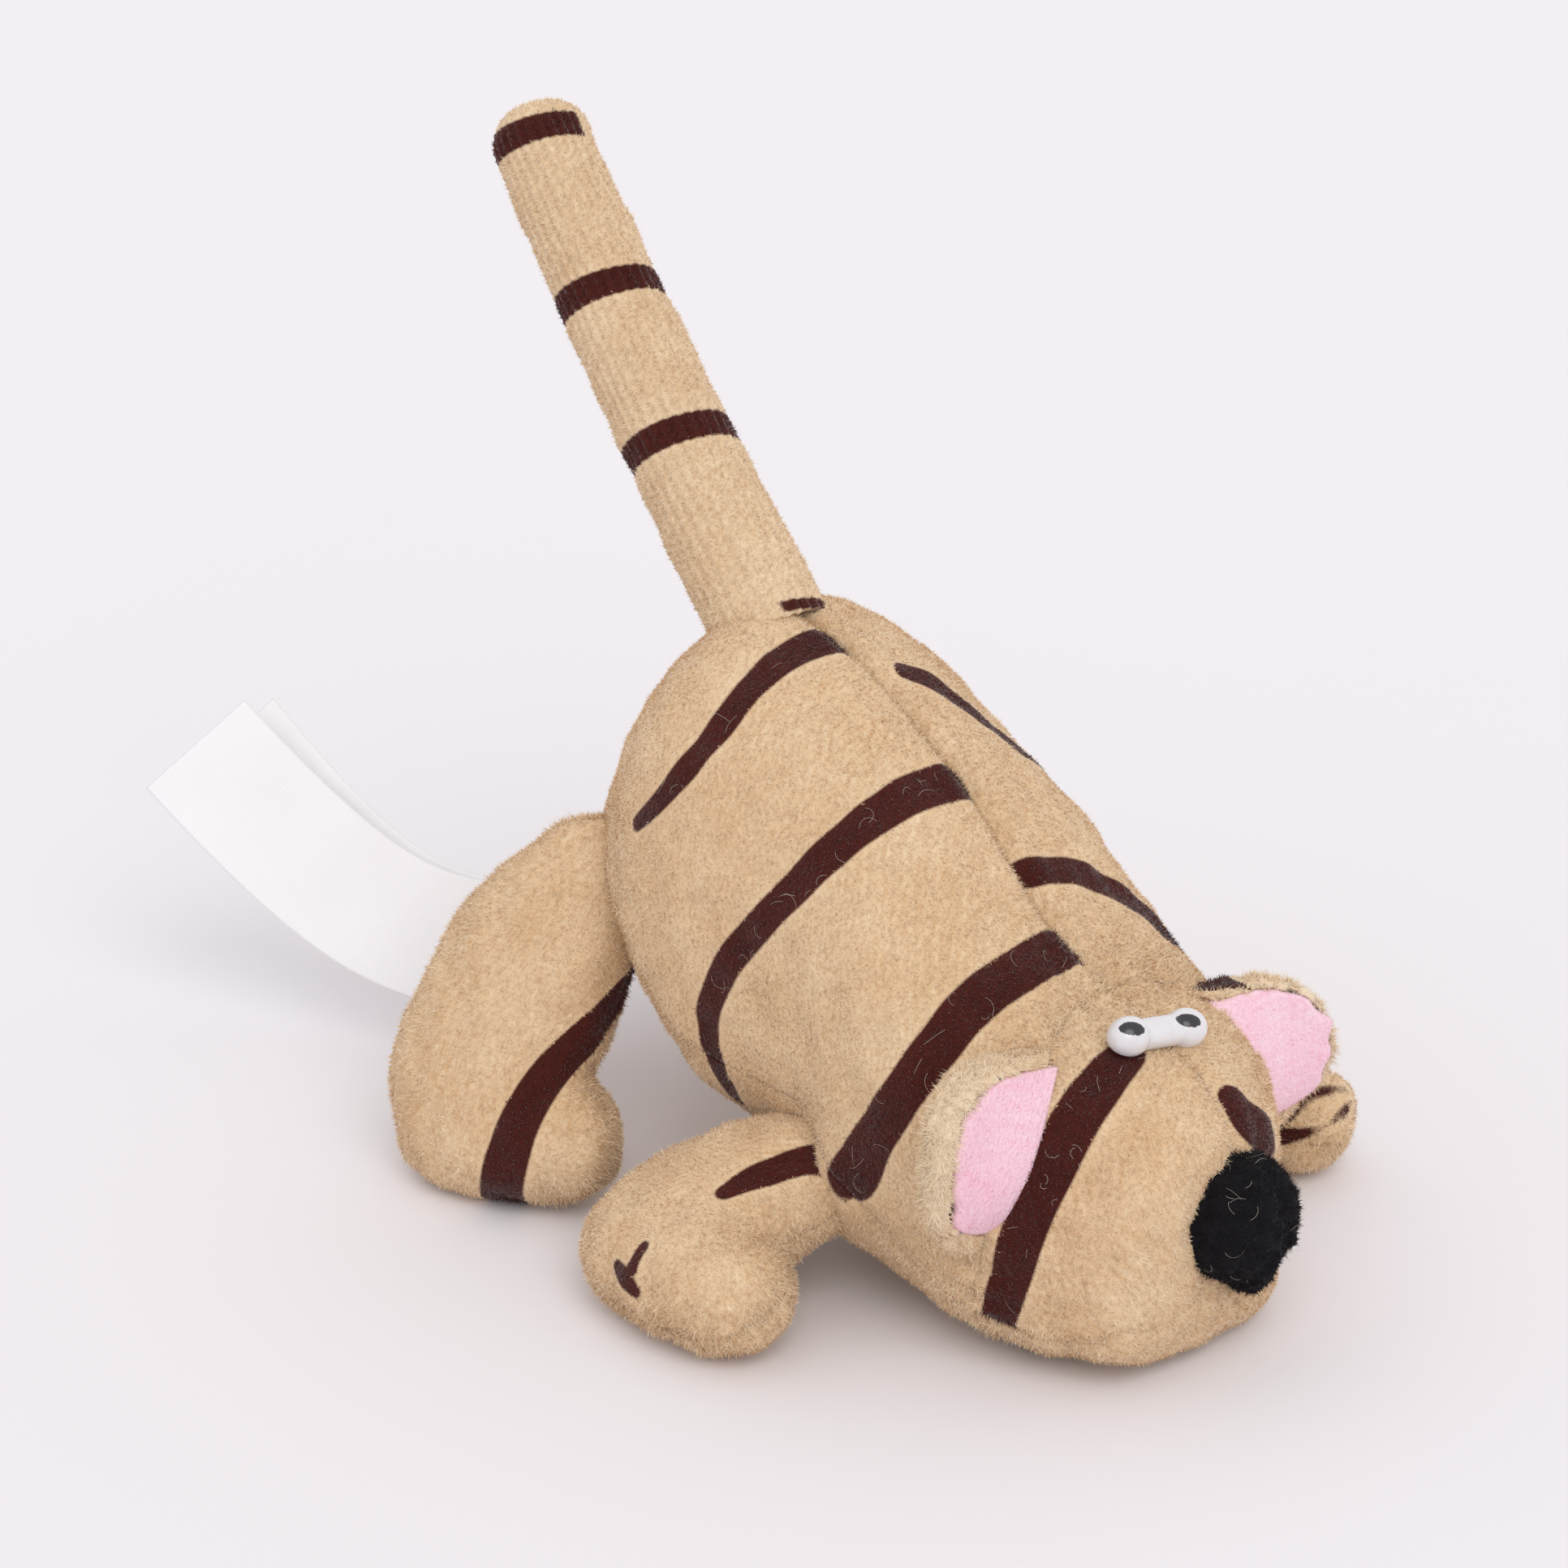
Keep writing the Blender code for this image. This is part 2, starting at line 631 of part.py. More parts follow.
def eye_grid(centre, aside, ahead, out):
    """Two lobes joined by a bridge, turned about the line through them and cut flat below."""
    spans = 22
    rings = 16
    turn = np.linspace(0, math.pi, spans + 1)[1:-1]
    reach = eye_spread + eye_lobe_radius
    place = -reach * np.cos(turn)
    beyond = np.clip(np.abs(np.abs(place) - eye_spread) / eye_lobe_radius, 0, 1)
    lobe = eye_lobe_radius * np.sqrt(1 - beyond**2)
    radius = np.where(np.abs(place) < eye_spread, np.maximum(lobe, eye_bridge_radius), lobe)
    angle = 2 * math.pi * np.arange(rings) / rings
    flat = np.maximum(radius[:, None] * np.sin(angle)[None, :], -eye_cut)
    level = radius[:, None] * np.cos(angle)[None, :]
    return (centre + place[:, None, None] * aside + level[..., None] * ahead
            + flat[..., None] * out)


def add_cutter(name, radius, low, high, place, out, holder):
    """A round cutter along the eye's shank."""
    profile = [(0, low), (radius, low), (radius, high), (0, high)]
    cutter = add_turned(name, profile, place, out, holder, None)
    cutter.hide_render = True
    cutter.display_type = "WIRE"
    return cutter


def combine(piece, other, operation):
    modifier = piece.modifiers.new(operation.lower(), "BOOLEAN")
    modifier.operation = operation
    modifier.solver = "EXACT"
    modifier.object = other


def add_eyes(holder, materials, panels, head_filling):
    seat, out = on_bag(eye_share, 0, 0)
    aside = leftward - out * (leftward @ out)
    aside /= np.linalg.norm(aside)
    ahead = np.cross(aside, out)
    centre = seat + out * (clearance + eye_cut)
    pair = add_filling("eye_pair", eye_grid(centre, aside, ahead, out), holder,
                       materials["white_plastic"])
    washer_top = -cloth - washer_drop
    shank_end = washer_top - washer_thickness - shank_past_washer
    shank = add_cutter("shank_form", shank_radius, shank_end, clearance + eye_cut, seat, out,
                       holder)
    combine(pair, shank, "UNION")
    hole = shank_radius + clearance
    add_turned("eye_washer",
               [(hole, washer_top), (washer_radius, washer_top),
                (washer_radius, washer_top - washer_thickness),
                (hole, washer_top - washer_thickness)],
               seat, out, holder, materials["washer_plastic"])
    slot = add_cutter("shank_hole", hole, -2 * cloth, cloth, seat, out, holder)
    for panel in panels:
        combine(bpy.data.objects[panel], slot, "DIFFERENCE")
    pocket = add_cutter("washer_pocket", washer_radius + clearance, shank_end - clearance,
                        cloth, seat, out, holder)
    combine(head_filling, pocket, "DIFFERENCE")


def dome(radius, depth, steps=7):
    """Profile of a half ellipse from its rim to its top."""
    turn = [math.pi / 2 * k / steps for k in range(steps + 1)]
    points = [(radius * math.cos(a), depth * math.sin(a)) for a in turn]
    return points[:-1] + [(0, depth)]


def add_nose(holder, materials):
    """A black cap over its filling, just in front of the round opening at the snout."""
    tip = bag_surface(np.array([1.0]), np.array([0.0]))[0]
    centre = tip + forward * clearance + upward * nose_rise
    inner = dome(nose_radius - cloth, nose_depth - cloth)
    add_turned("nose_cover", dome(nose_radius, nose_depth) + inner[::-1], centre, forward,
               holder, materials["black_pile"])
    core = dome(nose_radius - cloth - clearance, nose_depth - cloth - clearance)
    add_turned("nose_filling", core + [(0, 0)], centre, forward, holder, materials["filling"])


def label_grid(root, shift, end_shift, length_share):
    """A ribbon's middle surface: it leaves the rump downwards, levels out and rises to its end."""
    count = 160
    stations = np.linspace(0, 1, len(label_pitch_shares))
    share = np.linspace(0, length_share, count)
    pitch = math.pi / 2 * through(stations, label_pitch_shares, share)
    roll = math.pi / 2 * through(stations, label_roll_shares, share)
    turn = label_turn * through(stations, label_turn_shares, share)[:, None]
    level = -forward * np.cos(turn) - leftward * np.sin(turn)
    beside = leftward * np.cos(turn) - forward * np.sin(turn)
    ahead = np.cos(pitch)[:, None] * level + np.sin(pitch)[:, None] * upward
    over = np.cos(pitch)[:, None] * upward - np.sin(pitch)[:, None] * level
    wide = np.sin(roll)[:, None] * beside + np.cos(roll)[:, None] * over
    face = np.cross(ahead, wide)
    step = label_length * length_share / (count - 1)
    path = root + (np.cumsum(ahead, axis=0) - ahead[0]) * step
    path = path + (shift + (end_shift - shift) * share[:, None] ** 3) * face
    pick = np.linspace(0, count - 1, label_rows).astype(int)
    across = np.array([-0.5, 0.0, 0.5])[None, :, None] * label_width
    return path[pick][:, None, :] + across * wide[pick][:, None, :], face[pick][:, None, :]


def add_label(holder, materials):
    """Two layers sewn in at the rump's end, a little apart at their free ends."""
    tip = bag_surface(np.array([0.0]), np.array([0.0]))[0]
    root = tip - forward * (clearance + label_thickness)
    pivot = add_pivot("label_pivot", root, holder)
    apart = (label_thickness + clearance) / 2
    for name, side, spread, share in (
            ("label_front", -1, apart, 1), ("label_back", 1, apart + label_end_spread,
                                            label_back_share)):
        middle, face = label_grid(root, side * apart, side * spread, share)
        half = face * label_thickness / 2
        add_cloth(name, middle + half, middle - half, pivot, materials["white_ribbon"])


def centre_on_ground(root):
    """Moves the toy so that its box stands on the origin, its bottom's middle there."""
    bpy.context.view_layer.update()
    graph = bpy.context.evaluated_depsgraph_get()
    corners = []
    for piece in bpy.data.objects:
        if piece.type == "MESH" and not piece.hide_render:
            ready = piece.evaluated_get(graph)
            corners += [ready.matrix_world @ vertex.co for vertex in ready.data.vertices]
    corners = np.array(corners)
    low, high = corners.min(axis=0), corners.max(axis=0)
    root.location = (-(low[0] + high[0]) / 2, -(low[1] + high[1]) / 2, -low[2])


def build():
    for piece in list(bpy.data.objects):
        bpy.data.objects.remove(piece, do_unlink=True)
    materials = make_materials()
    root = bpy.data.objects.new("tiger", None)
    bpy.context.collection.objects.link(root)
    neck = add_pivot("neck_pivot", neck_axis(), root)
    add_bag_part(("back_panel_left", "back_panel_right", "belly_panel", "body_filling"),
                 body_rows(), root, materials)
    head_filling = add_bag_part(
        ("face_panel_left", "face_panel_right", "chin_panel", "head_filling"),
        head_rows(), neck, materials)
    add_nose(neck, materials)
    add_eyes(neck, materials, ("face_panel_left", "face_panel_right"), head_filling)
    for name, side in (("ear_left", 1), ("ear_right", -1)):
        add_ear(name, side, neck, materials)
    tree, outward = bag_tree()
    for name, limb in limbs().items():
        add_limb(name, limb, root, materials, tree, outward)
    add_tail(root, materials)
    add_label(root, materials)
    centre_on_ground(root)


build()
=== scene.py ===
# Small stuffed tiger lying on its chest with its rump raised: striped pile cloth, pink ears,
# a black nose, moulded eyes and a blank ribbon label. Metres, +Z up, the snout points along -Y.
import json
from math import cos, pi, radians, sin, sqrt

import bpy
import numpy as np
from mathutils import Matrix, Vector


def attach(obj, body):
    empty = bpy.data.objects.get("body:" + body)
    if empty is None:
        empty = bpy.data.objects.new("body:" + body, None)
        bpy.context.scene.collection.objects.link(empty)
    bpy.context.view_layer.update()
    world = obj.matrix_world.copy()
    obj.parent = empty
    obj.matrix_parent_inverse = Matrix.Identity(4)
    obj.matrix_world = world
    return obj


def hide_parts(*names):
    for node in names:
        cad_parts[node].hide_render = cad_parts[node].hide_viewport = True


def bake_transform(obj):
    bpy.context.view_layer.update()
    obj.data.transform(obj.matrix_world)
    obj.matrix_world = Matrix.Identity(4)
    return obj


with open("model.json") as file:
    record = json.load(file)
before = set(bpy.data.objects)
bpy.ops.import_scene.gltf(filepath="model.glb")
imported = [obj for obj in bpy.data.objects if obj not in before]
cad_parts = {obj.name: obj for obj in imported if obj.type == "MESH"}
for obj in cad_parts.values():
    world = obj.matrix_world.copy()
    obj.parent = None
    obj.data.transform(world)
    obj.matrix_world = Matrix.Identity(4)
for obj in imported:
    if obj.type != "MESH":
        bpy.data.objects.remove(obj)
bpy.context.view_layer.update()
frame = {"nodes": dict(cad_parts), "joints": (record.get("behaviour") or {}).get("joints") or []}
joints = {joint["name"]: np.array(joint["pos_m"]) for joint in frame["joints"]}
print("frame loaded:", len(frame["nodes"]), "nodes")

forward = np.array([0.0, -1.0, 0.0])
leftward = np.array([1.0, 0.0, 0.0])
upward = np.array([0.0, 0.0, 1.0])


class Value:
    # a socket that takes part in Python arithmetic
    def __init__(self, graph, socket):
        self.graph = graph
        self.socket = socket

    def math(self, operation, first, second):
        return self.graph.node("ShaderNodeMath", {"operation": operation}, {0: first, 1: second})

    def __add__(self, other):
        return self.math("ADD", self, other)

    def __sub__(self, other):
        return self.math("SUBTRACT", self, other)

    def __rsub__(self, other):
        return self.math("SUBTRACT", other, self)

    def __mul__(self, other):
        return self.math("MULTIPLY", self, other)

    __radd__ = __add__
    __rmul__ = __mul__


class Graph:
    # a tree of nodes, for a material or the world
    def __init__(self, tree):
        self.tree = tree

    def node(self, kind, settings=None, sockets=None, output=0):
        made = self.tree.nodes.new(kind)
        for key, value in (settings or {}).items():
            setattr(made, key, value)
        for key, value in (sockets or {}).items():
            if isinstance(value, Value):
                self.tree.links.new(value.socket, made.inputs[key])
            else:
                made.inputs[key].default_value = value
        return Value(self, made.outputs[output])

    def attribute(self, name):
        return self.node("ShaderNodeAttribute", {"attribute_name": name}, output="Fac")

    def noise(self, scale, detail=2.0, roughness=0.5):
        place = self.node("ShaderNodeTexCoord", output="Object")
        return self.node("ShaderNodeTexNoise", None, {"Vector": place, "Scale": scale,
                                                      "Detail": detail, "Roughness": roughness})

    def blend(self, factor, first, second):
        # two colours mixed by a factor
        first, second = [(*colour, 1) if isinstance(colour, tuple) else colour
                         for colour in (first, second)]
        return self.node("ShaderNodeMix", {"data_type": "RGBA"},
                         {0: factor, 6: first, 7: second}, output=2)


class Finish(Graph):
    # one material and its nodes
    def __init__(self, name, **constants):
        self.material = bpy.data.materials.new(name)
        self.material.use_nodes = True
        super().__init__(self.material.node_tree)
        self.shader = self.tree.nodes["Principled BSDF"]
        for key, value in constants.items():
            self.shader.inputs[key.replace("_", " ")].default_value = value

    def into(self, key, value):
        self.tree.links.new(value.socket, self.shader.inputs[key])

    def bump(self, height, distance, strength):
        self.into("Normal", self.node("ShaderNodeBump", None, {
            "Height": height, "Distance": distance, "Strength": strength}))


# the darker root colours paint the shade deep in the pile; the tips are the lit cloth
pileTones = {  # each pile's root and tip
    "tan_pile": ((0.52, 0.25, 0.062), (0.93, 0.77, 0.56)),
    "pink_pile": ((0.93, 0.44, 0.58), (0.98, 0.79, 0.87)),
    "black_pile": ((0.003, 0.003, 0.0035), (0.014, 0.012, 0.015)),
    "print": ((0.020, 0.003, 0.002), (0.105, 0.018, 0.012)), "crispness": 2500.0,
    "cream": (0.97, 0.86, 0.68), "cloudScale": 95.0, "fineScale": 1900.0,
    "byDepth": 0.35, "byTint": 0.75, "byCloud": 0.45, "byFine": 0.2, "bump": 0.00035,
}


def pileFinish(name, slot, printed=False, sheen=0.42):
    # colour runs from root to tip, the root darker as painted shade deep in the pile; the tint adds
    # its tone and the knit's painted shade, brown is printed over it, and a fine bump breaks it up
    finish = Finish(name, Roughness=0.92, Sheen_Weight=sheen, Sheen_Roughness=0.4,
                    Specular_IOR_Level=0.15)
    # depth rises from a hair's root to its tip, so its low values give the painted shade deep in
    # the pile
    depth = finish.attribute("depth")
    cloudy = finish.noise(pileTones["cloudScale"], 3.0)
    fine = finish.noise(pileTones["fineScale"], 2.0, 0.6)
    shade = (depth * pileTones["byDepth"] + finish.attribute("tint") * pileTones["byTint"]
             + (cloudy - 0.5) * pileTones["byCloud"] + (fine - 0.5) * pileTones["byFine"])
    colour = finish.blend(shade, *pileTones[slot])
    if printed:
        colour = finish.blend(finish.attribute("pale"), colour, pileTones["cream"])
        edge = 0.5 - finish.attribute("apart") * pileTones["crispness"]
        colour = finish.blend(edge, colour, finish.blend(shade, *pileTones["print"]))
    finish.into("Base Color", colour)
    finish.bump(fine, pileTones["bump"], 0.8)
    return finish.material


def tonedFinish(name, scale, first, second, **constants):
    # a colour that drifts between two near tones
    finish = Finish(name, **constants)
    colour = finish.blend(finish.noise(scale), first, second)
    finish.into("Base Color", colour)
    return finish, colour


def ribbonFinish():
    # satin ribbon: very fine ribs across it, as the label's own map gives them
    finish = Finish("whiteRibbon", Roughness=0.5, Sheen_Weight=0.1)
    along = finish.node("ShaderNodeUVMap", {"uv_map": "OFBake"})
    ribs = finish.node("ShaderNodeTexWave", {"wave_type": "BANDS", "bands_direction": "Y"},
                       {"Vector": along, "Scale": 90.0, "Distortion": 0.4, "Detail": 1.0})
    soil = finish.noise(60.0, 3.0)
    finish.into("Base Color", finish.blend(soil * 0.8, (0.91, 0.90, 0.925), (0.84, 0.83, 0.86)))
    finish.into("Roughness", 0.42 + soil * 0.2)
    finish.bump(ribs, 0.00004, 0.4)
    return finish.material


finishes = {
    "tan_pile": pileFinish("tanPile", "tan_pile", printed=True),
    "pink_pile": pileFinish("pinkPile", "pink_pile"),
    "black_pile": pileFinish("blackPile", "black_pile", sheen=0.06),
    "stray": tonedFinish("strayHairs", 400.0, (0.30, 0.25, 0.21), (0.50, 0.44, 0.38),
                         Roughness=0.5)[0].material,
    "ribbon": ribbonFinish(),
}

# milky glossy plastic with black pupils painted on
plastic, milk = tonedFinish("eyePlastic", 500.0, (0.68, 0.67, 0.70), (0.80, 0.79, 0.81),
                            Roughness=0.25, Coat_Weight=0.6, Coat_Roughness=0.08,
                            Subsurface_Weight=0.25, Subsurface_Scale=0.002)
plastic.into("Base Color", plastic.blend(plastic.attribute("pupil"), milk, (0.012, 0.012, 0.015)))
finishes["eye"] = plastic.material

plastic, _ = tonedFinish("washerPlastic", 300.0, (0.76, 0.76, 0.74), (0.84, 0.84, 0.82),
                         Roughness=0.4)
plastic.bump(plastic.noise(2500.0), 0.00002, 0.5)
for slot in frame["nodes"]["eye_washer"].material_slots:
    slot.material = plastic.material
print("finishes made")


def through(stations, values, at):
    # smooth curve through values at the stations: cubic pieces with averaged slopes
    stations, values = np.asarray(stations, float), np.asarray(values, float)
    at = np.clip(at, stations[0], stations[-1])
    slope = np.gradient(values, stations)
    k = np.clip(np.searchsorted(stations, at, side="right") - 1, 0, len(stations) - 2)
    width = stations[k + 1] - stations[k]
    t = (at - stations[k]) / width
    return ((2 * t**3 - 3 * t**2 + 1) * values[k] + (t**3 - 2 * t**2 + t) * width * slope[k]
            + (3 * t**2 - 2 * t**3) * values[k + 1] + (t**3 - t**2) * width * slope[k + 1])


def unit(vectors):
    return vectors / np.maximum(np.linalg.norm(vectors, axis=-1, keepdims=True), 1e-12)


def waves(points, length, seed, count=10):
    # smooth noise, about -1 to 1: sine waves of about one length in random directions, summed
    rng = np.random.default_rng(seed)
    way = unit(rng.normal(size=(count, 3))) * rng.uniform(0.7, 1.5, (count, 1))
    phase = rng.uniform(0, 2 * pi, count)
    return np.sin(points @ way.T * (2 * pi / length) + phase).sum(-1) / sqrt(count)


def endwise(count):
    # shares from 0 to 1 that crowd together at both ends, where a rounded form closes
    close = np.geomspace(1e-11, 0.02, count // 4)
    return np.unique(np.concatenate([close, np.linspace(0.02, 0.98, count), 1 - close]))


def evenly(line, grain, *tables):
    # tables given along a line, read again at even distances of a grain along it
    run = np.concatenate([[0], np.linalg.norm(np.diff(line, axis=0), axis=1).cumsum()])
    at = np.linspace(0, run[-1], int(run[-1] / grain))
    return [np.interp(at, run, table) for table in tables]


def spread(rows, grain):
    # each row of points set out again, evenly by its length, as many as the longest has grains
    step = np.linalg.norm(np.diff(rows[..., :3], axis=1), axis=-1)
    count = int(step.sum(1).max() / grain)
    run = np.concatenate([np.zeros((len(rows), 1)), step.cumsum(1)], 1)
    out = np.empty((len(rows), count, rows.shape[2]))
    for k in range(len(rows)):
        at = np.linspace(0, run[k, -1], count)
        for channel in range(rows.shape[2]):
            out[k, :, channel] = np.interp(at, run[k], rows[k, :, channel])
    return out


def facing(points):
    # outward unit normals of a grid: across both its directions, away from each row's middle
    normal = unit(np.cross(np.gradient(points, axis=0), np.gradient(points, axis=1)))
    away = points - points.mean(axis=1, keepdims=True)
    return normal if (normal * away).sum() > 0 else -normal


def edgeDistances(points):
    # each point's distance along the grid from its first and last column and first and last row
    across = np.linalg.norm(np.diff(points, axis=1), axis=-1)
    along = np.linalg.norm(np.diff(points, axis=0), axis=-1)
    left = np.concatenate([np.zeros((len(points), 1)), across.cumsum(1)], 1)
    first = np.concatenate([np.zeros((1, points.shape[1])), along.cumsum(0)], 0)
    return left, left[:, -1:] - left, first, first[-1:] - first


def rolled(distance, width, depth):
    # depth at a seam, where the cloth's edge rolls in
    return depth * (1 - np.clip(distance / width, 0, 1)) ** 2.2


def strokeLine(surface, stops):
    # a printed stroke on a surface, from its stops: thousandths along, degrees round and half
    # width in millimetres
    stops = np.array(stops, float)
    return surface(stops[:, 0] / 1000, np.radians(stops[:, 1])), stops[:, 2] / 1000


def strokeDistance(points, lines):
    # distance to the nearest printed stroke's edge, negative inside it
    found = np.full(points.shape[:-1], 1.0)
    flat = points.reshape(-1, 3)
    for line, halfWidths in lines:
        count = max(12, int(np.linalg.norm(np.diff(line, axis=0), axis=1).sum() / 0.0005))
        stations, at = np.linspace(0, 1, len(line)), np.linspace(0, 1, count)
        path = np.stack([through(stations, line[:, k], at) for k in range(3)], -1)
        half = through(stations, halfWidths, at)
        apart = np.sqrt(((flat[:, None, :] - path[None]) ** 2).sum(-1)) - half
        found = np.minimum(found, apart.min(1).reshape(found.shape))
    return found


def put(name, data):
    made = bpy.data.objects.new(name, data)
    bpy.context.scene.collection.objects.link(made)
    return made


def putMesh(name, points, faces, material, uv=None, attributes=None, smooth=True):
    # a mesh from arrays; all its faces have the same number of corners
    mesh = bpy.data.meshes.new(name)
    mesh.vertices.add(len(points))
    mesh.vertices.foreach_set("co", np.asarray(points, np.float32).ravel())
    corners = faces.shape[1]
    mesh.loops.add(faces.size)
    mesh.loops.foreach_set("vertex_index", faces.astype(np.int32).ravel())
    mesh.polygons.add(len(faces))
    mesh.polygons.foreach_set("loop_start", np.arange(0, faces.size, corners, dtype=np.int32))
    mesh.update(calc_edges=True)
    mesh.polygons.foreach_set("use_smooth", np.full(len(faces), smooth))
    if uv is not None:
        layer = mesh.uv_layers.new(name="OFBake")
        layer.uv.foreach_set("vector", np.asarray(uv, np.float32)[faces.ravel()].ravel())
    for key, values in (attributes or {}).items():
        mesh.attributes.new(key, "FLOAT", "POINT").data.foreach_set(
            "value", np.asarray(values, np.float32).ravel())
    mesh.materials.append(material)
    mesh.validate()
    return put(name, mesh)


def gridFaces(rows, columns, first=0, closed=False, flip=False):
    # quads of a grid of points, joined from its last column to its first where closed
    i, j = np.meshgrid(np.arange(rows - 1), np.arange(columns if closed else columns - 1),
                       indexing="ij")
    k = (j + 1) % columns
    low, high = i * columns, (i + 1) * columns
    quads = np.stack([low + j, low + k, high + k, high + j], -1).reshape(-1, 4) + first
    return quads[:, ::-1] if flip else quads


def gridMap(rows, columns):
    # the grid's own map, kept a little inside the square
    v, u = np.meshgrid(np.linspace(0.012, 0.988, rows), np.linspace(0.012, 0.988, columns),
                       indexing="ij")
    return np.stack([u, v], -1)


def shell(name, outer, inner, material, attributes):
    # cloth between two grids of points, closed along its edges, facing outwards
    rows, columns = outer.shape[:2]
    count = rows * columns
    i, j = rows // 2, columns // 2
    normal = np.cross(outer[i + 1, j] - outer[i, j], outer[i, j + 1] - outer[i, j])
    flip = bool(normal @ (outer[i, j] - inner[i, j]) > 0)
    faces = [gridFaces(rows, columns, 0, flip=flip),
             gridFaces(rows, columns, count, flip=not flip)]
    index = np.arange(count).reshape(rows, columns)
    for edge, turn in ((index[0], flip), (index[-1], not flip),
                       (index[:, 0], not flip), (index[:, -1], flip)):
        strip = np.stack([edge[:-1], edge[1:], edge[1:] + count, edge[:-1] + count], -1)
        faces.append(strip if turn else strip[:, ::-1])
    uv = gridMap(rows, columns).reshape(-1, 2)
    uv = np.concatenate([uv * (1, 0.5), uv * (1, 0.5) + (0, 0.5)])
    doubled = {key: np.concatenate([np.ravel(value)] * 2) for key, value in attributes.items()}
    return putMesh(name, np.concatenate([outer.reshape(-1, 3), inner.reshape(-1, 3)]),
                   np.concatenate(faces), material, uv, doubled)


fur = {
    "density": 14e6, "length": 0.00070, "lengths": (0.65, 1.2), "width": 0.00017,
    "sunk": 0.0001, "lift": (radians(22), radians(60)), "scatter": radians(75),
    "twist": 0.1, "tuft": 0.0011, "tuftLean": 0.25,
    # rootShade and skinShade paint the hair roots and the skin between the hairs darker, as shade
    # deep in the pile
    "tintSize": 0.0012, "tintShare": 0.12, "tintSpread": 0.07, "rootShade": 0.50,
    # knitShade paints the knit lighter on its crests and darker in its gaps, as shade
    "knit": 0.00078, "knitLean": 0.35, "knitShade": 0.23, "knitReach": 0.16, "knitWarp": 0.006,
    "edgeTrim": 0.45, "edgeReach": 0.0008, "edgeSpread": 0.0001,
    "ragged": ((0.0002, 0.0016), (0.00014, 0.0006)),
    "skin": 0.0009, "skinShade": 0.45,
}
ground = {"clearance": 0.0002, "pressedBelow": 0.002, "pressedShare": 0.15}


def onGround(points):
    # lifts points clear of the ground, and gives the share of its length the pile keeps there
    points[..., 2] = np.maximum(points[..., 2], ground["clearance"])
    return np.clip(points[..., 2] / ground["pressedBelow"], ground["pressedShare"], 1)


